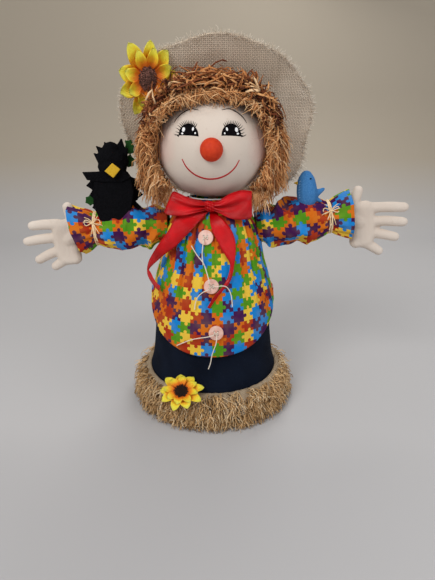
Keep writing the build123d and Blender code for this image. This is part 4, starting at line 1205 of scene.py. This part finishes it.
def hair():
    turn = np.linspace(14, 166, 121)[:, None]
    around_roll = np.linspace(-0.1, 1.1, 21)[None, :]
    ends = np.sin(np.radians(turn)) ** 0.5
    wide = 68.0 + 11.0 * around_roll * ends
    tall = 55.0 + 13.0 * around_roll * ends
    y = -42.0 + 32.0 * around_roll - 7.0 * np.sin(pi * np.clip(around_roll, 0, 1)) * ends
    spread = np.radians(turn)
    roll = np.stack([wide * np.cos(spread), y + 0 * turn, HEAD_Z + tall * np.sin(spread)], axis=2)
    roll = roll + 1.6 * wobble(roll, 6.0, 9.0)[..., None]
    # a dark sheet under the straw so nothing shows through; its darkness is painted shade for the depths of the
    # hair
    base = grid_mesh("hair_roll_painted_shade", in_front_of_brim(roll), thickness=2.0)
    set_points(base, "shade", 0.10 + 0.08 * wobble(np.array([v.co[:] for v in base.vertices]) / MM, 5.0, 1.0))
    made = piece("hair_roll_painted_shade", base, HAIR, "head")

    layers, widths, shades = [], [], []

    def lay(tufted, width, shade, spread):
        lines, tone = tufted
        layers.append(lines)
        widths.append(RNG.uniform(*width, len(lines)))
        shades.append(np.clip(shade + spread * (0.8 * tone + RNG.normal(0, 0.8, len(lines))), 0, 1))

    # the first layer, dark and underneath, is painted shade below the lighter straw
    lay(tuft(560, (2, 178), (79, 68, -18), (70, 56, -42), (78, 69, -38), (3.4, 7.0), 1.8),
        (1.2, 2.4), 0.26, 0.13)
    lay(tuft(560, (4, 176), (73, 62, -42), (65.5, 50.5, -49), (73, 62, -53), (3.0, 7.0), 2.0),
        (1.1, 2.1), 0.66, 0.17)
    lay(tuft(300, (14, 166), (70, 58, -47), (65, 49.0, -52), (69, 59, -57), (3.6, 11.0), 2.8, clumps=90),
        (1.1, 2.2), 0.76, 0.15)
    # a band of dark strands between the top tufts and the fringe: painted shadow
    lay(tuft(300, (18, 162), (73, 61, -45), (76, 65, -47), (75, 66, -54), (4.4, 12.0), 2.2, clumps=70),
        (1.4, 3.2), 0.16, 0.10)
    lay(tuft(380, (15, 165), (74, 62, -36), (81, 72, -27), (79, 72, -42), (4.2, 11.0), 2.2),
        (1.5, 3.0), 0.42, 0.16)
    lay(tuft(190, (45, 135), (74, 63, -38), (78, 74.5, -33), (79, 76, -46), (4.8, 14.0), 2.8, clumps=80),
        (2.2, 4.4), 0.50, 0.15)
    lay(tuft(120, (40, 140), (74, 64, -44), (72, 66, -50), (76, 70, -58), (5.0, 16.0), 3.0, clumps=70),
        (2.4, 4.6), 0.56, 0.18)
    fringe = strand_piece("hair_fringe_straw", in_front_of_brim(np.concatenate(layers)),
                          np.concatenate(widths), np.concatenate(shades), HAIR, "head")
    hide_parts("hair_fringe")

    for name, side in (("right", -1), ("left", 1)):
        layers, widths, shades = [], [], []
        count, bunches = 1300, 70
        bunch = RNG.integers(0, bunches, count)
        level = np.clip(RNG.uniform(0, 1, bunches)[bunch] + RNG.normal(0, 0.02, count), 0, 1)
        below = smoothstep(0.35, 0.9, level)
        angle = np.where(side > 0, 38 - 86 * level, 142 + 86 * level)
        roots = ring(angle, 67.5 - 1.0 * below, 57 + 4.0 * below, -33) + RNG.normal(0, 2.2, (count, 3))
        roots[:, 1] += RNG.uniform(-9, 12, count) + 4 * below
        drop = RNG.uniform(14, 42, count) * (1.0 - 0.2 * below) + RNG.normal(0, 4, bunches)[bunch]
        flare = 13.0 - (14.0 if side > 0 else 8.0) * below
        lean = flare + RNG.normal(0, 6.0, bunches)[bunch] + RNG.normal(0, 4.0, count)
        tips = roots + np.stack([side * lean, RNG.normal(0, 4, count) + 3, -drop], axis=1)
        tips[:, 2] = np.maximum(tips[:, 2], LOCK_BOTTOM + RNG.uniform(-2, 10, count))
        widest, drawn_in = (91.0, 14.0) if side > 0 else (88.0, 5.0)
        reach = widest - drawn_in * (1 - smoothstep(262, 290, tips[:, 2]))
        tips[:, 0] = side * np.clip(side * tips[:, 0], 40.0 + RNG.uniform(0, 5, count),
                                    reach + RNG.uniform(-5, 1, count))
        bends = (roots + tips) / 2 + np.stack([side * RNG.uniform(1, 7, count), RNG.normal(-3, 3, count),
                                               4 + 0 * drop], axis=1)
        layers.append(arcs(roots, bends, tips, 7, 2.4))
        widths.append(RNG.uniform(1.0, 2.1, count))
        tone = 0.56 + 0.12 * level + RNG.normal(0, 0.13, bunches)[bunch] + RNG.normal(0, 0.15, count)
        shades.append(np.clip(tone, 0, 1))
        few = 420
        angle = np.where(side > 0, RNG.uniform(-20, 30, few), RNG.uniform(150, 200, few))
        roots = ring(angle, 74, 62, -24) + RNG.normal(0, 2, (few, 3))
        tips = roots + np.stack([side * RNG.uniform(2, 15, few), RNG.normal(0, 5, few),
                                 -RNG.uniform(2, 26, few)], axis=1)
        tips[:, 2] = np.maximum(tips[:, 2], LOCK_BOTTOM)
        layers.append(arcs(roots, (roots + tips) / 2 + RNG.normal(0, 3, (few, 3)), tips, 7, 2.4))
        widths.append(RNG.uniform(1.0, 1.9, few))
        shades.append(np.clip(0.80 + RNG.normal(0, 0.1, few), 0, 1))
        lines = in_front_of_brim(off_head(np.concatenate(layers), 1.0), 1.0)
        # low and near the middle the straw stays behind the bow, also when the head turns
        above, beyond = smoothstep(286, 300, lines[..., 2]), smoothstep(60, 74, np.abs(lines[..., 0]))
        lines[..., 1] = np.maximum(lines[..., 1], -25.0 - 40.0 * above - 40.0 * beyond)
        lock = strand_piece(f"hair_{name}_straw", lines, np.concatenate(widths),
                            np.concatenate(shades), HAIR, "head")
        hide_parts(f"hair_{name}")


# ---------------------------------------------------------------- hat

def brim_point(reach, angle):
    """A point of the brim: reach is 0 in the middle and 1 at the edge, angle in radians from its right."""
    path = np.concatenate([[0], np.cumsum(np.linalg.norm(np.diff(brim_line, axis=0), axis=1))])
    square = 2 + 1.3 * smoothstep(0.0, 0.6, -np.sin(angle)) * smoothstep(0.0, 0.3, np.cos(angle))
    rim = (np.abs(np.cos(angle)) ** square + np.abs(np.sin(angle)) ** square) ** (-1 / square)
    rim = rim * (1 + 0.010 * np.sin(5 * angle + 1) + 0.008 * np.sin(9 * angle))
    along = path[-1] / 2 * (1 - np.clip(0.985 * rim * reach * np.sin(angle), -1, 1))
    x = BRIM_X + BRIM_HALF_WIDTH * 0.98 * rim * reach * np.cos(angle)
    y = np.interp(along, path, brim_line[:, 0])
    z = np.interp(along, path, brim_line[:, 1])
    y = y + 2.0 * reach**3 * np.sin(3 * angle + 0.6) + 1.0 * reach**4 * np.sin(11 * angle)
    return np.stack([x, y, z], axis=-1), np.stack([x, along], axis=-1)


def brim_outward(angle, inner):
    """Unit vectors straight out of the brim's edge, taken from the ring at `inner`."""
    way = brim_point(np.full(len(angle), 1.0), angle)[0] - brim_point(np.full(len(angle), inner), angle)[0]
    return way / np.linalg.norm(way, axis=1, keepdims=True)


def hat():
    angle = np.linspace(-pi, pi, 301)[None, :]
    reach = np.linspace(0.60, 1.0, 44)[:, None]
    points, flat = brim_point(reach + 0 * angle, angle + 0 * reach)
    points[..., 1] += 0.7 * wobble(points, 14.0, 12.0)
    made = cloth_piece("hat_brim_burlap", points, flat, 1.3, BURLAP, "head")
    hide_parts("hat_brim")

    inner, _ = brim_point(0.66 + 0 * angle[0], angle[0])
    centre = np.array([0.0, CROWN[0], CROWN[1]])
    apex = np.array([0.0, 0.88, 0.47])
    share = np.linspace(0, 1, 46)[:, None, None]
    rim = inner - centre
    rim_length = np.linalg.norm(rim, axis=1)[None, :, None]
    rim_way = rim[None] / rim_length
    way = rim_way * np.cos(share * pi / 2) + apex * np.sin(share * pi / 2)
    way /= np.linalg.norm(way, axis=2, keepdims=True)
    dome_reach = rim_length + (CROWN_RADIUS - rim_length) * smoothstep(0, 0.35, share)
    dome = centre + way * dome_reach
    dent = 1.6 * wobble(dome, 26.0, 14.0) * smoothstep(0.05, 0.3, share[..., 0])
    dome = dome + way * np.minimum(dent, 0.8)[..., None]
    dome_flat = np.stack([dome[..., 0], np.hypot(dome[..., 1], 0.5 * dome[..., 2]) * 1.3], axis=2)
    crown = cloth_piece("hat_crown_burlap", dome, dome_flat, 1.2, BURLAP, "head")
    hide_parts("hat_crown")

    count = 4600
    edge = RNG.uniform(-pi, pi, count)
    corner = smoothstep(-1.35, -0.9, edge) * (1 - smoothstep(-0.45, -0.15, edge))
    start, _ = brim_point(1.0 - RNG.uniform(0.005, 0.05, count), edge)
    grow = RNG.uniform(1.5, 5.0, count) * (1 + 0.5 * corner)
    tips = start + brim_outward(edge, 0.94) * grow[:, None] + RNG.normal(0, 1.7, (count, 3))
    lines = arcs(start, (start + tips) / 2 + RNG.normal(0, 0.8, (count, 3)), tips, 5, 0.4)
    shades = np.clip(0.62 + RNG.normal(0, 0.24, count), 0, 1)
    comb = np.arange(-1.08, -0.52, 0.021)
    comb_start, _ = brim_point(np.full(len(comb), 0.99), comb)
    comb_tips = comb_start + brim_outward(comb, 0.93) * RNG.uniform(5.5, 9.0, (len(comb), 1))
    comb_tips = comb_tips + RNG.normal(0, 0.6, (len(comb), 3))
    comb_lines = arcs(comb_start, (comb_start + comb_tips) / 2, comb_tips, 5, 0.3)
    lines = np.concatenate([lines, comb_lines])
    widths = np.concatenate([RNG.uniform(0.35, 0.7, count), RNG.uniform(0.8, 1.2, len(comb))])
    shades = np.concatenate([shades, np.full(len(comb), 0.97)])
    frayed = strand_piece("hat_brim_fray", lines, widths, shades, PALE_FRAY, "head")


# ---------------------------------------------------------------- sunflowers

def petals(place, tilt_x, tilt_y, normal, count, root, length, width, lift, turn, seed):
    """A ring of cupped petals with a crease along each, as one mesh; along runs 0 to 1 from the middle."""
    local = np.random.default_rng(seed)
    parts = []
    for number in range(count):
        heading = turn + 2 * pi * number / count + local.uniform(-0.09, 0.09)
        reach = length * local.uniform(0.9, 1.05)
        t = np.linspace(0, 1, 22)[:, None]
        w = np.linspace(-1, 1, 13)[None, :]
        outline = np.sqrt(np.clip(1 - t**3.4, 0, 1)) * (0.42 + 0.58 * smoothstep(0.05, 0.6, t))
        half = width / 2 * outline * local.uniform(0.92, 1.08)
        notch = 1.6 * np.exp(-(np.abs(w) / 0.22) ** 2) * smoothstep(0.86, 1.0, t)
        tip = reach * (0.05 * (1 - w**2) * smoothstep(0.6, 1, t))
        run = root + (reach - root) * t + tip - notch
        side = half * w
        rise = lift[0] + lift[1] * np.sin(pi * 0.5 * t * 1.25) - 1.5 * smoothstep(0.7, 1.0, t)
        crease = 1.1 * (1 - np.abs(w)) ** 1.5 * np.sin(pi * np.clip(t * 1.05, 0, 1))
        cup = 1.9 * w**2 * np.sin(pi * t) * local.uniform(0.5, 1.3)
        ruffle = 0.35 * np.sin(9 * t + 5 * w + number) * np.abs(w)
        up = rise - crease + cup + ruffle + 0 * side
        a = run * cos(heading) - side * sin(heading)
        b = run * sin(heading) + side * cos(heading)
        points = place + a[..., None] * tilt_x + b[..., None] * tilt_y + up[..., None] * normal
        parts.append(grid_mesh("petal", points, along=t + 0 * w, across=w + 0 * t))
    return thicken(joined("petals", parts), 0.45)


def seed_head(place, tilt_x, tilt_y, normal, radius, name):
    """A low dome covered with small seeds in a spiral, each with its own shade."""
    height, stand_off = 3.6, 2.6
    work = bmesh.new()
    shades = []
    count = int(190 * (radius / 14.5) ** 1.2)
    for number in range(count):
        spread = radius * ((number + 0.5) / count) ** 0.5
        heading = number * 2.39996
        rise = height * (1 - (spread / radius) ** 2) ** 0.5 + stand_off
        sideways = cos(heading) * tilt_x + sin(heading) * tilt_y
        way = normal + 0.5 * spread / radius * sideways
        centre = place + spread * sideways + rise * normal
        size = radius * 0.078 * RNG.uniform(0.8, 1.2)
        made = bmesh.ops.create_icosphere(work, subdivisions=1, radius=size * MM)
        way = Vector(way).normalized()
        matrix = way.to_track_quat("Z", "Y").to_matrix().to_4x4()
        for vertex in made["verts"]:
            stretched = Vector((vertex.co.x, vertex.co.y, vertex.co.z * 1.9))
            vertex.co = matrix @ stretched + Vector(centre) * MM
        shades += [min(1.0, max(0.0, 0.15 + 0.75 * RNG.uniform() ** 1.4))] * len(made["verts"])
    mesh = bpy.data.meshes.new(name)
    work.to_mesh(mesh)
    work.free()
    set_points(mesh, "shade", shades)
    turn = np.linspace(0, 2 * pi, 49)[None, :]
    t = np.linspace(0, 1, 14)[:, None]
    reach = radius * 1.02 * np.sin(t * pi / 2)
    rise = height * np.cos(t * pi / 2) + stand_off - 0.7 - 1.0 * smoothstep(0.9, 1, t)
    dome = (place + (reach * np.cos(turn))[..., None] * tilt_x + (reach * np.sin(turn))[..., None] * tilt_y
            + (rise + 0 * turn)[..., None] * normal)
    below = grid_mesh("dome", dome, close=True, shade=0 * reach * turn)
    return joined(name, [below, mesh])


def sunflower(name, body, place, normal, radius, centre_radius, seeds_finish, turn, deep, squeeze, disc):
    normal = np.array(normal) / np.linalg.norm(normal)
    tilt_x = np.cross((0, 0, 1.0), normal)
    tilt_x /= np.linalg.norm(tilt_x) * np.sign(tilt_x[0] + 1e-9)
    tilt_y = np.cross(normal, tilt_x)
    place = np.array(place)
    wide_x, wide_y = squeeze[0] * tilt_x, squeeze[1] * tilt_y
    root = centre_radius * 0.5
    outer = piece(f"{name}_petals_outer_cloth",
                  petals(place, wide_x, wide_y, normal, 9, root, radius, radius * 0.50, (0.2, deep), turn, 90),
                  PETALS, body)
    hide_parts(f"{name}_petals_outer")
    inner = piece(f"{name}_petals_inner_cloth",
                  petals(place, wide_x, wide_y, normal, 8, root, radius * 0.76, radius * 0.40, (1.6, deep + 1.6),
                         turn + 0.37, 91), PETALS, body)
    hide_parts(f"{name}_petals_inner")
    seeds_mesh = seed_head(place, disc[0] * tilt_x, disc[1] * tilt_y, normal, centre_radius, f"{name}_seed_head")
    middle = piece(f"{name}_seed_head", seeds_mesh, seeds_finish, body)
    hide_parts(f"{name}_centre")


# ---------------------------------------------------------------- birds

def jagged(points, teeth, depth, seed):
    """An outline with small feather cuts along it."""
    local = np.random.default_rng(seed)
    line = through([*points, points[0]], teeth * 2 + 1)[:-1]
    middle = line.mean(axis=0)
    outward = line - middle
    outward /= np.linalg.norm(outward, axis=1, keepdims=True)
    cut = np.where(np.arange(len(line)) % 2 == 0, 1.0, -1.0) * depth * local.uniform(0.3, 1.2, len(line))
    return (line + outward * cut[:, None]).tolist()


def felt_piece(name, parts, finish, body, voxel, smoothing):
    """Flat felt cut to outlines, each part an outline with the y of its back and front."""
    mesh = sculpted(name, [slab(outline, back, front) for outline, back, front in parts], voxel, smoothing)
    return piece(name, mesh, finish, body)


def crow():
    body = ((-135, 306), (-119, 310), (-103, 306), (-97, 297), (-95, 283), (-99, 266), (-102, 249), (-120, 246),
            (-139, 248), (-146, 266), (-144, 284), (-142, 300))
    balls = [((x, -14.0, z), radius) for x, z, radius in (
        (-120, 323, 13.5), (-126, 322, 11.5), (-113, 321, 12.0), (-120, 330, 11.0),
        (-120, 312, 14.0), (-128, 312, 9.5), (-112, 312, 10.0), (-107.5, 318, 8.0))]
    tufts = [slab(outline, -11.5, -16.5) for outline in
             (((-137.5, 336), (-132, 320), (-122, 331)), ((-141, 328), (-135, 313), (-128, 324)),
              ((-106.5, 345), (-116, 331), (-101, 325)), ((-127, 340.5), (-129, 328), (-115, 330)),
              ((-99.5, 334), (-110, 330), (-102, 318)))]
    mesh = sculpted("crow_body_felt", [blob(balls), slab(body, -8.0, -20.0), *tufts], 0.9, 5)
    made = piece("crow_body_felt", mesh, BLACK_FELT, "right_arm")
    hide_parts("crow_body")

    wings = [
        (((-155, 306.5), (-137, 307), (-121, 309), (-104, 307), (-97, 300), (-108, 295), (-134, 295), (-150, 297)),
         -19.6, -21.6),
        (jagged(((-150, 300), (-134, 304), (-104, 304), (-88, 288), (-99, 283), (-120, 286), (-153, 285)),
                13, 2.0, 2), -7.2, -8.8),
        (jagged(((-150, 290), (-134, 296), (-104, 296), (-87, 278), (-100, 270), (-120, 268), (-148, 271)),
                13, 2.0, 3), -5.6, -7.2),
        (jagged(((-146, 276), (-132, 284), (-106, 284), (-90, 262), (-101, 255), (-120, 251), (-147, 258)),
                11, 1.8, 4), -8.6, -10.2)]
    made = felt_piece("crow_wing_feathers", wings, BLACK_FELT, "right_arm", 0.65, 2)
    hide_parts("crow_wings")

    beak = [(((-116.6, 317.2), (-107.6, 310.0), (-116.6, 300.2), (-126.3, 308.0)), -26.0, -28.4)]
    made = felt_piece("crow_beak_felt", beak, YELLOW_FELT, "right_arm", 0.5, 3)
    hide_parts("crow_beak")

    leaves = [(jagged(((-104, 341), (-98, 343), (-94, 335), (-96, 327), (-104, 328)), 6, 1.2, 5), -4.6, -6.2),
              (jagged(((-106, 324), (-98, 325), (-94.5, 317), (-99, 311), (-106, 314)), 6, 1.1, 6), -4.6, -6.2),
              (jagged(((-152, 278), (-157, 275), (-159, 268), (-152, 264), (-146, 270)), 6, 1.0, 7), -4.6, -6.2)]
    made = felt_piece("crow_leaf_felt", leaves, GREEN_FELT, "right_arm", 0.6, 2)
    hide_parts("crow_leaves")


def bluebird():
    low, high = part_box("bluebird_body")
    y = (low.y + high.y) / 2 / MM
    girth = (9.0, 12.6, 13.2, 12.4, 11.2, 7.6)
    line = [(117.5, y, 268), (117.5, y, 277), (116.5, y, 286), (115.5, y, 293), (115.0, y, 300)]
    balls = limb(line, girth)
    balls += limb([(122, y + 1, 276), (131, y + 1, 281), (137.5, y + 1, 285)], (7, 4.5, 2.0))
    balls += limb([(121, y + 1, 271), (129, y + 1, 272.5), (135.5, y + 1, 270.0)], (6, 3.6, 1.8))
    mesh = sculpted("bluebird_felt", [blob(balls)], 0.9, 6)
    made = piece("bluebird_felt", mesh, BLUE_FELT, "left_arm")
    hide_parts("bluebird_body", "bluebird_wing", "bluebird_tail")
    low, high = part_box("bluebird_beak")
    at = (low + high) / 2 / MM
    beak_line = [(at.x + 3.2, at.y, at.z), (at.x - 2.4, at.y, at.z + 0.4)]
    beak = sculpted("bluebird_beak_felt", [blob(limb(beak_line, (2.6, 1.9, 0.8), 0.6))], 0.4, 3)
    made = piece("bluebird_beak_felt", beak, YELLOW_FELT, "left_arm")
    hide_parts("bluebird_beak")
    parts = []
    for t in np.linspace(0.12, 0.9, 9):
        place = through(line, 21)[int(t * 20)]
        out = np.array([-0.86, -0.5, 0.0])
        rim = place + out * (np.interp(t, np.linspace(0, 1, len(girth)), girth) - 0.4)
        stitch = [rim, rim + (-0.3, -0.6, 0.9), rim + (1.2, -1.0, 1.8)]
        parts.append(grid_mesh("stitch", tube_points(stitch, 0.24, 6)))
    stitches = piece("bluebird_stitches", joined("bluebird_stitches", parts), PALE_BLUE_THREAD, "left_arm")
    eye = piece("bluebird_eye", blob([((118.6, y - 10.2, 298.5), 1.0)]), EYE_INK, "left_arm")


# ---------------------------------------------------------------- kept CAD parts

def kept_parts():
    """Parts whose solid shape is right get their finish from the record's own slot names."""
    slots = {"base_board": "mdf", "weight_bag": "sand_bag", "centre_post": "dowel", "shoulder_wire": "wire",
             "right_arm_wire": "wire", "left_arm_wire": "wire", "nose": "painted_wood",
             "shirt_button_top": "button_resin", "shirt_button_middle": "button_resin",
             "shirt_button_bottom": "button_resin"}
    for node, slot in slots.items():
        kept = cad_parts[node]
        for holder in kept.material_slots:
            holder.material = FINISHES[slot]


# ---------------------------------------------------------------- floor, light and camera

def backdrop_finish():
    n = Nodes("backdrop", 0.9)
    height = n.add("ShaderNodeSeparateXYZ", Vector=n.object()).outputs[2]
    n.colour(n.mix(n.between(height, 0.0, 0.25), (0.50, 0.495, 0.50), (0.46, 0.40, 0.315)))
    return n.material


def stage():
    """One pale sheet: a level floor that turns up into a plain wall well behind the doll."""
    turn = np.linspace(0, pi / 2, 14)
    line = [(-2600.0, 0.0), (0.0, 0.0), (500.0, 0.0)]
    line += [(900 + 500 * sin(t), 500 - 500 * cos(t)) for t in turn]
    line += [(1400.0, 2600.0)]
    points = np.array([[(x, y, z) for x in (-3200.0, 0.0, 3200.0)] for y, z in line])
    sheet = piece("backdrop", grid_mesh("backdrop", points), backdrop_finish(), None)


def lamp(name, place, aim, size, power, colour):
    light = bpy.data.lights.new(name, "AREA")
    light.shape = "DISK"
    light.size = size
    light.energy = power
    light.color = colour
    made = bpy.data.objects.new(name, light)
    made.location = place
    made.rotation_euler = (Vector(aim) - Vector(place)).to_track_quat("-Z", "Y").to_euler()
    bpy.context.scene.collection.objects.link(made)


def light_and_camera():
    world = bpy.data.worlds.new("soft_room")
    world.use_nodes = True
    world.node_tree.nodes["Background"].inputs[0].default_value = (0.80, 0.80, 0.82, 1)
    world.node_tree.nodes["Background"].inputs[1].default_value = 0.50
    bpy.context.scene.world = world
    bpy.context.scene.view_settings.view_transform = "Standard"
    middle = (0, 0, 0.22)
    lamp("key", (-0.75, -1.15, 1.35), middle, 0.9, 17.0, (1.0, 0.985, 0.96))
    lamp("fill", (1.2, -0.9, 0.9), middle, 1.2, 6.5, (0.97, 0.98, 1.0))
    lamp("back", (0.3, 1.0, 1.3), middle, 0.8, 8.0, (1.0, 0.99, 0.97))
    camera = bpy.data.cameras.new("camera")
    camera.sensor_fit = "VERTICAL"
    camera.sensor_height = 24.0
    camera.lens = 18.04
    camera.clip_start = 0.01
    holder = bpy.data.objects.new("camera", camera)
    holder.location = (0.0065, -0.557, 0.352)
    holder.rotation_euler = (radians(70), 0, 0)
    bpy.context.scene.collection.objects.link(holder)
    bpy.context.scene.camera = holder


RIGHT_FINGERS = (((132, 8), (164, 8)), ((132, -9), (174, -12)), ((130, -24), (163, -37)),
                 ((124, -38), (143, -47)), ((112, 8), (115, 30)))
LEFT_FINGERS = (((132, 4), (177, -1)), ((132, -13), (176, -20)), ((130, -27), (165, -38)),
                ((122, -38), (144, -54)), ((113, 8), (120, 28)))

light_and_camera()
stage()
thread_tails()
shirt()
collar()
trousers()
ruffle()
sunflower("foot_sunflower", "stand", (-38, -94.5, 49.5), (-0.05, -0.62, 0.78), 28.0, 9.5,
          DARK_SEEDS, 0.3, 4.5, (1.0, 0.84), (1.0, 1.0))
for arm, digits in (("right", RIGHT_FINGERS), ("left", LEFT_FINGERS)):
    hand(arm, digits)
    sleeve(arm)
    wrist_tie(arm)
neck_band()
bow()
buttons()
crow()
bluebird()
head()
face()
hair()
hat()
sunflower("hat_sunflower", "head", (-71, -23.0, 408), (0.22, -0.86, -0.44), 42.0, 14.0,
          SEEDS, 0.1, 5.0, (0.80, 1.0), (0.70, 1.0))
kept_parts()
